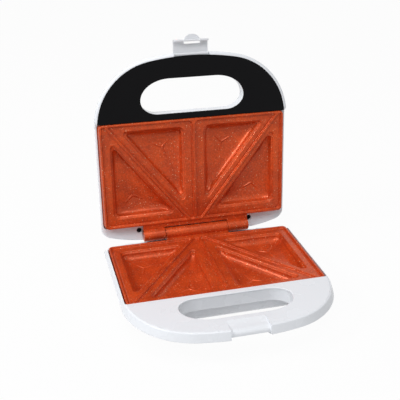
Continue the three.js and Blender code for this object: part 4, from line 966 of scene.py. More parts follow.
def cover_posts(c):
    """Places of the posts under a cover, near the handle's front corners."""
    from_side, from_front = 31 * MM, 52 * MM
    return [(side * (c.half_width - from_side), from_front - c.apex) for side in (1, -1)]


def foot_places(c, z):
    """Places of the feet by name, under the bowl's flat floor."""
    from_side, from_rear, from_front = 51 * MM, 5.8 * MM, 35.2 * MM
    x = c.half_width - from_side
    rows = (("rear", -z.setback - from_rear), ("front", from_front - z.setback - z.depth))
    return {f"{row}_{side}": (sign * x, y) for side, sign in (("right", 1), ("left", -1)) for row, y in rows}


def lamp_y(z):
    """Line of the two lamps, near the front of the lid's floor."""
    return -(z.setback + z.depth - 33.2 * MM)


def bush_x(c):
    """Distance of the cord's bush from the middle."""
    return c.half_width - 70 * MM


def latch_region(c, q, half, n_low, n_high):
    """Block over the latch's seat in the base handle, from past the handle's front to the seat's rear."""
    return block(-half, half, -(c.apex + OVERRUN), q.seat_length - c.apex, n_low, n_high, 0.8 * MM)


def casing_mesh(half_name):
    """Casing: bowl and handle made one, then hollowed and opened for the plate, the hand and the cover."""
    maker = settings()
    c, z, q = maker.casing, maker.plate, maker.latch
    deck, run = half_deck(c, half_name)
    axis, added = -z.lid_axis, [lid_handle(c)]
    if half_name == "base":
        axis, added = z.axis_above_rim, [base_handle(c), base_rails(c, z)]
    mesh = combine(mesh_of(bowl(c, half_name)), "UNION", added)
    gap = z.flare + c.plate_gap
    half = z.width / 2 + gap
    under_flange = -c.rim_drop - c.flange - 0.4 * MM
    plate_opening = stack([
        (rounded(oblong(-half, half, -c.deck_back, gap - z.setback), z.corner), n)
        for n in (under_flange, deck + OVERRUN)
    ])
    seat_gap, seat_back = 0.1 * MM, c.back - 6 * MM
    seat = stack([
        (handle_ring(c, run + seat_gap, seat_back, LEAST_RADIUS), n) for n in (deck - c.seat, deck + OVERRUN)
    ])
    if half_name == "base":
        kept = latch_region(c, q, q.half_width + q.side_gap - seat_gap, -OVERRUN, 2 * OVERRUN)
        seat = part_of(combine(mesh_of(seat), "DIFFERENCE", [kept]))
    barrel_gap = 0.8 * MM
    reach = hinge_half(z) + barrel_gap
    barrels = laid_along_x(cylinder(0, 0, -reach, reach, z.barrel + barrel_gap, 56), 0, 0, axis)
    floor = deck - c.thickness
    wells = [cylinder(x, y, floor - OVERRUN, floor + COVER_WELL, SCREW_WELL) for x, y in cover_posts(c)]
    cuts = [bowl(c, half_name, c.wall), plate_opening, seat, opening_part(c, deck), barrels, *wells]
    mesh = combine(mesh, "DIFFERENCE", cuts)
    return finish_base(mesh, c, z, q) if half_name == "base" else finish_lid(mesh, c, z, q)


def latch_ramp(c, q, half):
    """Seat of the latch as a cutter: a ramp that falls from the deck and rounds over into the lip's front."""
    rear, past = q.seat_length - c.apex, -q.lip_front - OVERRUN
    line = softened(
        [(rear, c.base_deck), (-q.lip_front, q.seat_level), (-q.lip_front, q.lip_bottom)], [q.seat_round],
    )
    ring = np.concatenate([line, [(past, q.lip_bottom), (past, OVERRUN), (rear, OVERRUN)]])
    return laid_along_x(stack([(ring, -half), (ring, half)]))


def finish_base(mesh, c, z, q):
    """Base casing: pillars, bush's pad, rear relief, foot seats, screw holes and the latch's seat and lip."""
    floor = -c.depth
    pillar, pillar_top, hole_start = 6 * MM, -26 * MM, 4 * MM
    pad, pad_half, pad_round, pad_set_in = 9.5 * MM, 5.3 * MM, 0.8 * MM, 3.7 * MM
    inlet, inlet_reach = 5.8 * MM, 20 * MM
    lip_corner, soft_corner, past_rear = 0.4 * MM, 1.5 * MM, 60 * MM
    added = [cylinder(x, y, floor + MM, pillar_top, pillar) for x, y in boss_places(z)]
    pad = turned(round_bar(pad, pad_half, pad_round))
    added.append(laid_along_y(pad, bush_x(c), c.base_reach - pad_set_in, BUSH_LEVEL))
    mesh = combine(mesh, "UNION", added)
    half = q.half_width + q.side_gap
    front = -(c.apex + OVERRUN)
    low = c.base_deck - c.thickness - OVERRUN
    relief = -c.relief_half, c.relief_half, z.flare - z.setback, past_rear, -c.relief_drop, OVERRUN
    cuts = [
        block(*relief, soft_corner),
        latch_ramp(c, q, half),
        block(-half, half, front, -q.lip_front, low, OVERRUN, lip_corner),
        block(-half, half, front, q.undercut - q.lip_front, low, q.lip_bottom, soft_corner),
        laid_along_y(cylinder(0, 0, -inlet_reach, inlet_reach, inlet), bush_x(c), 0, BUSH_LEVEL),
    ]
    cuts += [cylinder(x, y, floor - OVERRUN, floor + BASE_WELL, SCREW_WELL) for x, y in boss_places(z)]
    cuts += [cylinder(x, y, floor + hole_start, OVERRUN, SCREW_HOLE) for x, y in boss_places(z)]
    cuts += [
        cylinder(x, y, floor - OVERRUN, floor + c.foot_recess, c.foot + CLEARANCE)
        for x, y in foot_places(c, z).values()
    ]
    return combine(mesh, "DIFFERENCE", cuts)


def finish_lid(mesh, c, z, q):
    """Lid casing: bosses beside the hinge, lamp posts, notch and bore for the latch, screw and lamp holes."""
    floor = -c.depth
    boss, boss_low, boss_high = 5.2 * MM, -c.rim_drop - 6 * MM, -c.rim_drop - 1.5 * MM
    post, post_x, post_low, post_high = 2.2 * MM, 17 * MM, floor + 1.2 * MM, floor + 6.3 * MM
    hole_low, lamp_hole, lamp_hole_high = -30 * MM, 3.5 * MM, floor + 3 * MM
    notch_gap, notch_corner = 0.4 * MM, 0.8 * MM
    added = [cylinder(side * rear_screw_x(z), REAR_SCREW_Y, boss_low, boss_high, boss) for side in (1, -1)]
    added += [cylinder(side * post_x, lamp_y(z), post_low, post_high, post) for side in (1, -1)]
    mesh = combine(mesh, "UNION", added)
    half = q.half_width + q.side_gap
    pin_end = q.pin_half + CLEARANCE
    cuts = [
        block(
            -half, half, -(c.apex + OVERRUN), q.barrel + notch_gap - q.pivot,
            c.lid_deck - c.thickness - OVERRUN, OVERRUN, notch_corner,
        ),
        laid_along_x(cylinder(0, 0, -pin_end, pin_end, q.pin + CLEARANCE), 0, -q.pivot, -q.pivot_depth),
    ]
    for side in (1, -1):
        x = side * rear_screw_x(z)
        cuts += [
            cylinder(x, REAR_SCREW_Y, hole_low, OVERRUN, SCREW_HOLE),
            cylinder(x, REAR_SCREW_Y, -c.rim_drop - REAR_WELL, OVERRUN, SCREW_WELL),
            cylinder(side * LAMP_X, lamp_y(z), floor - OVERRUN, lamp_hole_high, lamp_hole),
        ]
    return combine(mesh, "DIFFERENCE", cuts)


def cover_mesh(half_name):
    """Handle cover: the handle's outline, inside its rounded edge, with a small round along the top."""
    maker = settings()
    c, q = maker.casing, maker.latch
    deck, run = half_deck(c, half_name)
    gap, edge, corner, post, post_low = 0.18 * MM, 0.25 * MM, 0.6 * MM, 4 * MM, deck - 10.7 * MM
    levels = [(0, deck - c.cover)] + [(drop, deck - rise) for rise, drop in quarter_round(edge)]
    plate = stack([
        (handle_ring(c, run + gap + inset, c.deck_back + inset, corner), n) for inset, n in levels
    ])
    cuts = [opening_part(c, deck)]
    if half_name == "base":
        cuts.append(latch_region(c, q, q.half_width + q.side_gap, deck - OVERRUN, deck + OVERRUN))
    mesh = combine(mesh_of(plate), "DIFFERENCE", cuts)
    posts = [cylinder(x, y, post_low, deck - c.cover + CLEARANCE, post) for x, y in cover_posts(c)]
    return combine(mesh, "UNION", posts)


def latch_mesh():
    """Latch: barrel, plate, hook and rounded tab made one, with a window under the hook. The tab's arc passes
    through its foot and top, so its radius is (half width^2 + height^2) / (2 height)."""
    q = settings().latch
    soft = 0.35 * MM
    tip = q.hook_level + q.hook_thickness
    rear, front = -q.barrel, q.plate - q.barrel
    barrel = laid_along_x(turned(round_bar(q.barrel, q.half_width, 0.3 * MM), 40))
    plate = block(-q.half_width, q.half_width, -tip, 0, rear, front, soft, soft)
    hook = block(-q.half_width, q.half_width, -tip, -q.hook_level, rear, q.hook_reach, soft, soft)
    radius = (q.tab_half**2 + q.tab**2) / (2 * q.tab)
    centre = tip + q.tab - radius
    turn = np.linspace(-1, 1, 33) * math.asin(q.tab_half / radius)
    foot = -tip + q.hook_thickness / 2
    rings = []
    for inset, n in ((soft, rear), (0, rear + soft), (0, front - soft), (soft, front)):
        arc = np.column_stack([
            q.tab_offset + (radius - inset) * np.sin(turn), -(centre + (radius - inset) * np.cos(turn)),
        ])
        rings.append((np.concatenate([arc, [(arc[-1, 0], foot), (arc[0, 0], foot)]]), n))
    mesh = combine(mesh_of(plate), "UNION", [barrel, hook, stack(rings)])
    window = block(
        q.tab_offset - q.window_half, q.tab_offset + q.window_half,
        -q.hook_level, q.window - q.hook_level, -OVERRUN, q.hook_reach, 0.6 * MM,
    )
    bore = laid_along_x(cylinder(0, 0, -2 * q.half_width, 2 * q.half_width, q.pin + CLEARANCE))
    return combine(mesh, "DIFFERENCE", [window, bore])


# Small parts

def foot_part(c):
    """Foot of revolution with a rounded tread and a shallow groove round its middle."""
    r, h = c.foot, c.foot_height
    tread, groove, groove_floor, groove_edge, top_edge = 1.1 * MM, 0.5 * MM, 2.4 * MM, 3 * MM, 0.3 * MM
    inner = [(0, groove), (groove_floor, groove), (groove_edge, 0)]
    outer = [(r - inset, drop) for inset, drop in quarter_round(tread, 5)]
    return turned([*inner, *outer, (r, h - top_edge), (r - top_edge, h), (0, h)], 56)


def screw_part(shank):
    """Screw with a shank of the given length: pan head below the seat with a cross recess, and a point. The
    head's face is a polar grid that sinks where either arm of the cross is near."""
    radius, head, edge, core, point, tip = 3 * MM, 2 * MM, 0.1 * MM, 1.5 * MM, 1.2 * MM, 0.02 * MM
    arm_half, arm_end, arm_slope, recess, dome, sides = 0.42 * MM, 1.8 * MM, 0.3 * MM, 1.1 * MM, 0.15 * MM, 48
    turn = np.arange(sides) * 2 * math.pi / sides
    radii = np.linspace(0.02, 1, 17)[:, None] * radius * 0.9
    x, y = radii * np.cos(turn), radii * np.sin(turn)
    arm = np.minimum(np.abs(x), np.abs(y))
    sunk = np.clip(1.4 - arm / arm_half, 0, 1) * np.clip((arm_end - radii) / arm_slope, 0, 1)
    face = -head - dome * (1 - (radii / radius) ** 2) + recess * sunk
    profile = [
        (radius * 0.97, edge - head), (radius, 4 * edge - head), (radius, -edge), (radius - edge, 0),
        (core, 0), (core, shank - point), (tip, shank),
    ]
    return body(np.concatenate([np.stack([x, y, face], axis=-1), spun(profile, sides)]))


def gland_part():
    """Ribbed bush round a bore, its outer flange rounded. A rib rises to the tube's radius and falls back."""
    bore, tube, flange, start, end, step = 3.6 * MM, 5.5 * MM, 7.6 * MM, -1.8 * MM, 10.6 * MM, 0.4 * MM
    edge, first_rib, second_rib = 0.5 * MM, 2.2 * MM, 6.8 * MM
    root = tube - edge
    profile = [(bore, start + step), (bore + step, start)]
    profile += [(flange - inset, start + drop) for inset, drop in quarter_round(edge)]
    profile += [(flange, 0), (root, 0)]
    for low in (first_rib, second_rib):
        high = low + 2 * MM + 2 * step
        profile += [(root, low), (tube, low + step), (tube, high - step), (root, high)]
    return tube_ring([*profile, (root, end), (bore, end)])


def lens_part():
    """Lamp lens: a low dome, a quarter ellipse turned about its middle, over a flange and a stem."""
    dome, rise, edge, flange, stem, end = 3.9 * MM, 1.2 * MM, -MM, 4.4 * MM, 3.2 * MM, 5.7 * MM
    cap = [(dome * math.sin(t), edge - rise * math.cos(t)) for t in np.linspace(0, QUARTER, 8)]
    return turned([*cap, (flange, 0.9 * edge), (flange, 0), (stem, 0), (stem, end), (0, end)])


# Materials

POLYCARBONATE_IOR = 1.58
# Layers of flakes: cell in mm, size as a share of the cell, share of cells left bare, and strength.
FLAKES = ((3.4, 0.12, 0.48, 0.8), (2.3, 0.14, 0.4, 0.4), (1.5, 0.18, 0.5, 0.2))


def add_node(tree, kind, inputs=None, stops=(), **values):
    """A node with its settings and, by input, values or links. A colour ramp has two (place, RGBA) stops."""
    node = tree.nodes.new(kind)
    for name, value in values.items():
        setattr(node, name, value)
    for name, value in (inputs or {}).items():
        if isinstance(value, bpy.types.NodeSocket):
            tree.links.new(value, node.inputs[name])
        else:
            node.inputs[name].default_value = value
    for i, (place, shade) in enumerate(stops):
        element = node.color_ramp.elements[i]
        element.position, element.color = place, shade
    return node


def new_material(name):
    """Empty material, its node tree and its Object coordinates."""
    material = bpy.data.materials.new(name)
    material.use_nodes = True
    tree = material.node_tree
    tree.nodes.clear()
    return material, tree, add_node(tree, "ShaderNodeTexCoord").outputs["Object"]


def grey(value):
    """Grey as RGBA."""
    return (value, value, value, 1.0)


def surfaced(material, inputs):
    """The material with a Principled surface of the given inputs."""
    tree = material.node_tree
    shader = add_node(tree, "ShaderNodeBsdfPrincipled", inputs)
    add_node(tree, "ShaderNodeOutputMaterial", {"Surface": shader.outputs["BSDF"]})
    return material


def darkened(shade, share):
    """RGBA colour with its three colours multiplied."""
    return (*(np.array(shade)[:3] * share), 1.0)


def moulded(name, shade, roughness, spread, grain_mm, relief_mm, **extra):
    """Moulded plastic or rubber: cloudy roughness over about 30 mm and a fine skin of the given grain."""
    material, tree, place = new_material(name)
    cloud = add_node(tree, "ShaderNodeTexNoise", {"Vector": place, "Scale": 1 / (30 * MM), "Detail": 3.0})
    rough = add_node(tree, "ShaderNodeValToRGB", {"Fac": cloud.outputs["Fac"]}, [
        (0.3, grey(roughness - spread)), (0.7, grey(roughness + spread)),
    ])
    grain = add_node(tree, "ShaderNodeTexNoise", {
        "Vector": place, "Scale": 1 / (grain_mm * MM), "Detail": 2.0,
    })
    bump = add_node(tree, "ShaderNodeBump", {
        "Height": grain.outputs["Fac"], "Distance": relief_mm * MM, "Strength": 1.0,
    })
    tint = add_node(tree, "ShaderNodeValToRGB", {"Fac": cloud.outputs["Fac"]}, [
        (0.35, darkened(shade, 0.985)), (0.65, tuple(shade)),
    ])
    return surfaced(material, {
        "Base Color": tint.outputs["Color"], "Roughness": rough.outputs["Color"],
        "Normal": bump.outputs["Normal"], **extra,
    })


def speckled_coating(f):
    """PTFE-type non-stick coating sprayed on cast aluminium: satin, warm copper red, with pale flakes. The
    flakes lie in cells of 3.4 mm, 2.3 mm and 1.5 mm, and each is about a tenth of its cell. The spray's grain
    is drawn 2 mm coarse, so that it shows."""
    material, tree, place = new_material("speckled_nonstick_coating")
    cloud = add_node(tree, "ShaderNodeTexNoise", {
        "Vector": place, "Scale": 1 / (22 * MM), "Detail": 5.0, "Roughness": 0.6,
    })
    ground = add_node(tree, "ShaderNodeValToRGB", {"Fac": cloud.outputs["Fac"]}, [
        (0.36, tuple(f.coating_dark)), (0.62, tuple(f.coating)),
    ])
    grain = add_node(tree, "ShaderNodeTexNoise", {"Vector": place, "Scale": 1 / (2 * MM), "Detail": 3.0})
    darker = add_node(tree, "ShaderNodeValToRGB", {"Fac": grain.outputs["Fac"]}, [
        (0.36, grey(0.74)), (0.6, grey(1.0)),
    ])
    shade = add_node(tree, "ShaderNodeMix", {
        0: 1.0, 6: ground.outputs["Color"], 7: darker.outputs["Color"],
    }, data_type="RGBA", blend_type="MULTIPLY").outputs[2]
    for cell_mm, size, chosen, strength in FLAKES:
        cells = add_node(tree, "ShaderNodeTexVoronoi", {
            "Vector": place, "Scale": 1 / (cell_mm * MM), "Randomness": 1.0,
        })
        dot = add_node(tree, "ShaderNodeValToRGB", {"Fac": cells.outputs["Distance"]}, [
            (size * 0.7, grey(strength)), (size * 1.5, grey(0.0)),
        ])
        parts = add_node(tree, "ShaderNodeSeparateColor", {"Color": cells.outputs["Color"]})
        some = add_node(
            tree, "ShaderNodeMath", {0: parts.outputs["Red"], 1: chosen}, operation="GREATER_THAN",
        )
        amount = add_node(
            tree, "ShaderNodeMath", {0: dot.outputs["Color"], 1: some.outputs[0]}, operation="MULTIPLY",
        )
        shade = add_node(
            tree, "ShaderNodeMix", {0: amount.outputs[0], 6: shade, 7: tuple(f.speck)}, data_type="RGBA",
        ).outputs[2]
    rough = add_node(tree, "ShaderNodeValToRGB", {"Fac": cloud.outputs["Fac"]}, [
        (0.3, grey(0.29)), (0.7, grey(0.39)),
    ])
    spray = add_node(tree, "ShaderNodeTexNoise", {"Vector": place, "Scale": 1 / (0.9 * MM), "Detail": 2.0})
    bump = add_node(tree, "ShaderNodeBump", {
        "Height": spray.outputs["Fac"], "Distance": 0.03 * MM, "Strength": 1.0,
    })
    return surfaced(material, {
        "Base Color": shade, "Roughness": rough.outputs["Color"], "Normal": bump.outputs["Normal"],
        "Metallic": 0.22, "IOR": 1.5, "Specular Tint": (1.0, 0.8, 0.6, 1.0),
    })


def plated_steel(name, shade, roughness, brushed_mm):
    """Zinc-plated or bare steel: metallic, with fine drawing marks along x."""
    material, tree, place = new_material(name)
    stretched = add_node(tree, "ShaderNodeMapping", {"Vector": place, "Scale": (0.15, 1.0, 1.0)})
    marks = add_node(tree, "ShaderNodeTexNoise", {
        "Vector": stretched.outputs["Vector"], "Scale": 1 / (brushed_mm * MM), "Detail": 3.0,
    })
    rough = add_node(tree, "ShaderNodeValToRGB", {"Fac": marks.outputs["Fac"]}, [
        (0.3, grey(roughness - 0.07)), (0.7, grey(roughness + 0.1)),
    ])
    tint = add_node(tree, "ShaderNodeValToRGB", {"Fac": marks.outputs["Fac"]}, [
        (0.3, darkened(shade, 0.85)), (0.7, tuple(shade)),
    ])
    bump = add_node(tree, "ShaderNodeBump", {"Height": marks.outputs["Fac"], "Distance": 0.01 * MM})
    return surfaced(material, {
        "Base Color": tint.outputs["Color"], "Metallic": 1.0, "Roughness": rough.outputs["Color"],
        "Normal": bump.outputs["Normal"],
    })


MATERIALS = {}


def make_materials():
    """One material for each material slot of the record, and one near-black steel for the deep-set rear
    screws, as painted shade.
    """
    f = settings().finish
    # Injection-moulded ABS: glossy, near-white and slightly cool, with a very shallow ripple.
    MATERIALS["white_casing"] = moulded("glossy_white_abs", f.casing, 0.27, 0.03, 2.4, 0.006, IOR=1.5)
    # Injection-moulded ABS with a satin skin: near-black, a soft sheen rather than a mirror.
    MATERIALS["black_cover"] = moulded(
        "satin_black_abs", f.trim, 0.42, 0.04, 1.0, 0.012, **{"Specular IOR Level": 0.1},
    )
    # Frosted polycarbonate: pale grey, light passes into it and blurs.
    MATERIALS["clear_grey"] = moulded(
        "frosted_polycarbonate", f.latch, 0.3, 0.03, 1.6, 0.006,
        **{"IOR": POLYCARBONATE_IOR, "Transmission Weight": 0.3},
    )
    # Moulded nitrile rubber: dark, matt, faintly dusty.
    MATERIALS["rubber"] = moulded("moulded_rubber", f.rubber, 0.72, 0.06, 0.8, 0.03, IOR=1.5)
    # Phenolic moulding: brown, dull gloss.
    MATERIALS["brown_moulding"] = moulded(
        "brown_phenolic", hex_to_linear("#3A2A22"), 0.5, 0.05, 1.2, 0.02, IOR=1.5,
    )
    # Clear tinted polycarbonate: glossy, light passes and takes the tint.
    for name, shade in (("red", f.red_lens), ("green", f.green_lens)):
        MATERIALS[f"{name}_lens"] = moulded(
            f"{name}_clear_polycarbonate", shade, 0.12, 0.02, 2.0, 0.003,
            **{"IOR": POLYCARBONATE_IOR, "Transmission Weight": 0.5},
        )
    MATERIALS["speckled_coating"] = speckled_coating(f)
    MATERIALS["plated_steel"] = plated_steel("zinc_plated_steel", f.steel, 0.32, 0.6)
    # Steel painted near-black as shade: the deep-set screws beside the lid's knuckles are darkened to stand
    # for the shade in their wells.
    MATERIALS["blackened"] = plated_steel("blackened_steel", hex_to_linear("#1C1C1E"), 0.55, 0.6)
    # Heater sheath: steel that has oxidised in use, dull and dark.
    MATERIALS["element_steel"] = plated_steel("oxidised_heater_steel", hex_to_linear("#5C5D60"), 0.5, 1.0)
    # Mill-finish aluminium sheet: pale, with rolling marks.
    MATERIALS["reflector_sheet"] = plated_steel("mill_aluminium_sheet", hex_to_linear("#C8CACC"), 0.36, 0.8)


# Operators

class MakeMaterials(bpy.types.Operator):
    """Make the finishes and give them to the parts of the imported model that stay"""
    bl_idname = "sandwich_maker.materials"
    bl_label = "Finishes"

    def execute(self, context):
        make_materials()
        for row in frame["record"]["subparts"]:
            materials = frame["nodes"][row["node"]].data.materials
            materials.clear()
            materials.append(MATERIALS[row["material_slot"]])
        return {"FINISHED"}


class AddPlates(bpy.types.Operator):
    """Add the two cast plates with their pockets, rays, skirts and hinge barrels"""
    bl_idname = "sandwich_maker.plates"
    bl_label = "Cast plates"

    def execute(self, context):
        z = settings().plate
        boss, boss_low, boss_high = 4 * MM, -14.5 * MM, -4.2 * MM
        inner, outer = z.centre_barrel + z.knuckle_gap, hinge_half(z)
        lower = knuckle_parts(z, z.axis_above_rim, [(-z.centre_barrel, z.centre_barrel)])
        upper = knuckle_parts(z, -z.lid_axis, [(inner, outer), (-outer, -inner)]) + lug_parts(z)
        bosses = [cylinder(x, y, boss_low, boss_high, boss) for x, y in boss_places(z)]
        for name, half, extra in (("lower", "base", lower), ("upper", "lid", upper)):
            mesh = mesh_of(plate_part(z), *extra, *bosses)
            add_piece(f"{name}_cast_plate", mesh, half, "speckled_coating", f"{name}_plate", sharp=40)
        return {"FINISHED"}


class AddCasings(bpy.types.Operator):
    """Add the white casings of base and lid"""
    bl_idname = "sandwich_maker.casings"
    bl_label = "Casings"

    def execute(self, context):
        for half in HALVES:
            add_piece(f"{half}_casing", casing_mesh(half), half, "white_casing", f"{half}_shell")
        return {"FINISHED"}


class AddCovers(bpy.types.Operator):
    """Add the covers of the two handles"""
    bl_idname = "sandwich_maker.covers"
    bl_label = "Handle covers"

    def execute(self, context):
        for half, slot in zip(HALVES, ("white_casing", "black_cover")):
            add_piece(f"{half}_cover", cover_mesh(half), half, slot, f"{half}_handle_cover")
        return {"FINISHED"}


class AddLatch(bpy.types.Operator):
    """Add the swinging latch and its pin"""
    bl_idname = "sandwich_maker.latch"
    bl_label = "Latch"

    def execute(self, context):
        q = settings().latch
        add_piece("swing_latch", latch_mesh(), "latch", "clear_grey", "latch")
        pin = laid_along_x(turned(round_bar(q.pin, q.pin_half, 0.2 * MM), 24))
        add_piece("latch_axle", mesh_of(pin), "lid", "plated_steel", "latch_pin", drawn_in="latch")
        return {"FINISHED"}


class AddHingePins(bpy.types.Operator):
    """Add the two pins of the hinge"""
    bl_idname = "sandwich_maker.hinge_pins"
    bl_label = "Hinge pins"

    def execute(self, context):
        z = settings().plate
        start, end = z.centre_barrel - z.pin_depth, hinge_half(z)
        for side, name in ((1, "right"), (-1, "left")):
            bar = turned(round_bar(z.pin, (end - start) / 2, 0.4 * MM), 32)
            pin = laid_along_x(bar, side * (start + end) / 2, 0, z.axis_above_rim)
            add_piece(f"hinge_axle_{name}", mesh_of(pin), "base", "plated_steel", f"hinge_pin_{name}")
        return {"FINISHED"}


class AddFeet(bpy.types.Operator):
    """Add the four rubber feet"""
    bl_idname = "sandwich_maker.feet"
    bl_label = "Feet"

    def execute(self, context):
        maker = settings()
        c, z = maker.casing, maker.plate
        ground = z.axis_above_rim - AXIS[2]
        for name, (x, y) in foot_places(c, z).items():
            foot = moved(foot_part(c), x, y, ground)
            add_piece(f"rubber_foot_{name}", mesh_of(foot), "base", "rubber", f"foot_{name}")
        return {"FINISHED"}


class AddScrews(bpy.types.Operator):
    """Add the screws of base, lid and handle covers with their cross recesses"""
    bl_idname = "sandwich_maker.screws"
    bl_label = "Screws"

    def execute(self, context):
        maker = settings()
        c, z = maker.casing, maker.plate
        base_seat, base_shank = BASE_WELL - CLEARANCE - c.depth, c.depth - z.step - z.wall - 9 * MM
        reflector_seat, reflector_shank = -24.3 * MM, 7 * MM
        cover_seat, cover_shank = COVER_WELL - CLEARANCE - c.thickness, 8.3 * MM
        rear_seat, rear_shank = CLEARANCE - REAR_WELL - c.rim_drop, 8 * MM
        sides = ("right", "left")
        corners = [f"{row}_{side}" for row in ("rear", "front") for side in sides]
        for corner, (x, y) in zip(corners, boss_places(z)):
            self.add("base", f"base_screw_{corner}", screw_part(base_shank), (x, y, base_seat))
            self.add("lid", f"reflector_screw_{corner}", screw_part(reflector_shank), (x, y, reflector_seat))
        for half in HALVES:
            n = half_deck(c, half)[0] + cover_seat
            for side, (x, y) in zip(sides, cover_posts(c)):
                self.add(half, f"{half}_cover_screw_{side}", screw_part(cover_shank), (x, y, n))
        # The rear screws take the near-black steel: painted shade for their deep wells.
        for side, x in zip(sides, (rear_screw_x(z), -rear_screw_x(z))):
            points, faces = screw_part(rear_shank)
            turned_over = points * np.array([1, -1, -1]), faces
            at = (x, REAR_SCREW_Y, rear_seat)
            self.add("lid", f"lid_rear_screw_{side}", turned_over, at, "blackened")
        return {"FINISHED"}

    def add(self, half, node, part, at, finish=None):
        mesh = mesh_of(moved(part, *at))
        add_piece(f"recessed_{node}", mesh, half, "plated_steel", node, finish=finish)


class AddSmallParts(bpy.types.Operator):
    """Add the cord bush and the two lamp lenses"""
    bl_idname = "sandwich_maker.small_parts"
    bl_label = "Bush and lenses"

    def execute(self, context):
        maker = settings()
        c, z = maker.casing, maker.plate
        bush = laid_along_y(gland_part(), bush_x(c), c.base_reach + 1.9 * MM, BUSH_LEVEL)
        add_piece("cord_bush", mesh_of(bush), "base", "rubber", "cord_gland")
        for x, name, slot in ((LAMP_X, "power", "red_lens"), (-LAMP_X, "ready", "green_lens")):
            lens = moved(lens_part(), x, lamp_y(z), -c.depth - CLEARANCE)
            add_piece(f"{name}_lamp", mesh_of(lens), "lid", slot, f"{name}_lens")
        return {"FINISHED"}


class AddStage(bpy.types.Operator):
    """Add floor, world, lamps and the camera"""
    bl_idname = "sandwich_maker.stage"
    bl_label = "Stage and camera"

    def execute(self, context):
        add_floor()
        set_world(context.scene)
        add_lamps(context.scene)
        add_camera(context.scene)
        context.scene.view_settings.view_transform = "Standard"
        return {"FINISHED"}


def white_where_seen(tree, lit, white, share):
    """Shader whose given share is plain white for camera, glossy and transmission rays, and which is the lit
    one for all other rays."""
    path = add_node(tree, "ShaderNodeLightPath").outputs
    seen = path["Is Camera Ray"]
    for kind in ("Is Glossy Ray", "Is Transmission Ray"):
        seen = add_node(tree, "ShaderNodeMath", {0: seen, 1: path[kind]}, operation="MAXIMUM").outputs[0]
    amount = add_node(tree, "ShaderNodeMath", {0: seen, 1: share}, operation="MULTIPLY")
    return add_node(tree, "ShaderNodeMixShader", {
        0: amount.outputs[0], 1: lit.outputs[0], 2: white.outputs[0],
    }).outputs[0]


def add_floor():
    """Pale floor. Seen directly it is lifted towards white, and keeps part of the object's shadow."""
    half = 6.0
    mesh = bpy.data.meshes.new("floor")
    corners = [(x, y, 0) for x, y in oblong(-half, half, -half, half)]
    mesh.from_pydata(corners, [], [(0, 1, 2, 3)])
    floor = bpy.data.objects.new("floor", mesh)
    bpy.context.scene.collection.objects.link(floor)
    material, tree, _ = new_material("matt_white_floor")
    paint = add_node(tree, "ShaderNodeBsdfDiffuse", {"Color": grey(0.7)})
    white = add_node(tree, "ShaderNodeEmission", {"Color": grey(1.0), "Strength": 1.0})
    add_node(tree, "ShaderNodeOutputMaterial", {"Surface": white_where_seen(tree, paint, white, 0.96)})
    mesh.materials.append(material)


def set_world(scene):
    """Even grey-white sky for light, plain white where it is seen."""
    world = bpy.data.worlds.new("studio")
    scene.world = world
    world.use_nodes = True
    tree = world.node_tree
    tree.nodes.clear()
    fill = add_node(tree, "ShaderNodeBackground", {"Color": grey(1.0), "Strength": 0.33})
    white = add_node(tree, "ShaderNodeBackground", {"Color": grey(1.0), "Strength": 1.0})
    add_node(tree, "ShaderNodeOutputWorld", {"Surface": white_where_seen(tree, fill, white, 1.0)})


LAMPS = [
    ("key", (-1.1, -0.25, 1.0), 0.3, 8.6),
    ("fill", (-0.3, -0.9, 1.8), 0.8, 17.0),
    ("back", (-0.3, 0.5, 1.5), 0.8, 1.0),
]


def add_lamps(scene):
    """Soft square lamps aimed at the middle of the machine."""
    middle = np.array([0.0, 0.0, 0.12])
    for name, place, size, power in LAMPS:
        light = bpy.data.lights.new(name, "AREA")
        light.shape = "SQUARE"
        light.size = size
        light.energy = power
        lamp = bpy.data.objects.new(name, light)
        scene.collection.objects.link(lamp)
        back = np.array(place) - middle
        lamp.matrix_world = looking(back / np.linalg.norm(back), np.array(place))


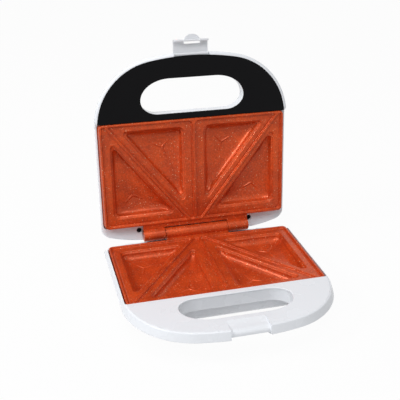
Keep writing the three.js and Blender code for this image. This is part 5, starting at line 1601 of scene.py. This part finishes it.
def looking(back, place, roll=0.0):
    """Matrix of an object at a place whose -Z axis points against back, rolled about it."""
    right = np.cross([0.0, 0.0, 1.0], back)
    right /= np.linalg.norm(right)
    up = np.cross(back, right)
    turned_right = math.cos(roll) * right + math.sin(roll) * up
    turned_up = -math.sin(roll) * right + math.cos(roll) * up
    matrix = np.eye(4)
    matrix[:3, 0], matrix[:3, 1], matrix[:3, 2], matrix[:3, 3] = turned_right, turned_up, back, place
    return Matrix(matrix.tolist())


def add_camera(scene):
    """Camera at the photograph's place: a pinhole fitted to the hinge, plates and handles."""
    yaw, pitch, roll = (math.radians(angle) for angle in (15.12, 25.33, 0.22))
    from_hinge = np.array([-205.0, -776.1, 419.8]) * MM
    focal_px, width_px = 742.2, 400
    forward = np.array([
        math.sin(yaw) * math.cos(pitch), math.cos(yaw) * math.cos(pitch), -math.sin(pitch),
    ])
    data = bpy.data.cameras.new("camera")
    data.sensor_width = 36.0
    data.lens = focal_px / width_px * 36.0
    data.clip_start, data.clip_end = 0.01, 100.0
    camera = bpy.data.objects.new("camera", data)
    scene.collection.objects.link(camera)
    camera.matrix_world = looking(-forward, AXIS + from_hinge, roll)
    scene.camera = camera


STEPS = [
    AddStage, MakeMaterials, AddPlates, AddCasings, AddCovers, AddLatch, AddHingePins, AddFeet, AddScrews,
    AddSmallParts,
]


class SandwichMakerPanel(bpy.types.Panel):
    """Sizes, colours and steps of the sandwich maker"""
    bl_idname = "VIEW3D_PT_sandwich_maker"
    bl_label = "Sandwich maker"
    bl_space_type = "VIEW_3D"
    bl_region_type = "UI"
    bl_category = "Sandwich maker"

    def draw(self, context):
        for step in STEPS:
            self.layout.operator(step.bl_idname)
        maker = context.scene.sandwich_maker
        for label in ("plate", "casing", "latch", "finish"):
            group = getattr(maker, label)
            box = self.layout.box()
            box.label(text=label.capitalize())
            for name in group.__annotations__:
                box.prop(group, name)


CLASSES = [PlateSizes, CasingSizes, LatchSizes, FinishColours, SandwichMaker, *STEPS, SandwichMakerPanel]


def register():
    for cls in CLASSES:
        bpy.utils.register_class(cls)
    bpy.types.Scene.sandwich_maker = PointerProperty(type=SandwichMaker)


def unregister():
    del bpy.types.Scene.sandwich_maker
    for cls in reversed(CLASSES):
        bpy.utils.unregister_class(cls)


def main():
    register()
    for step in STEPS:
        group, name = step.bl_idname.split(".")
        getattr(getattr(bpy.ops, group), name)()


if __name__ == "__main__":
    main()
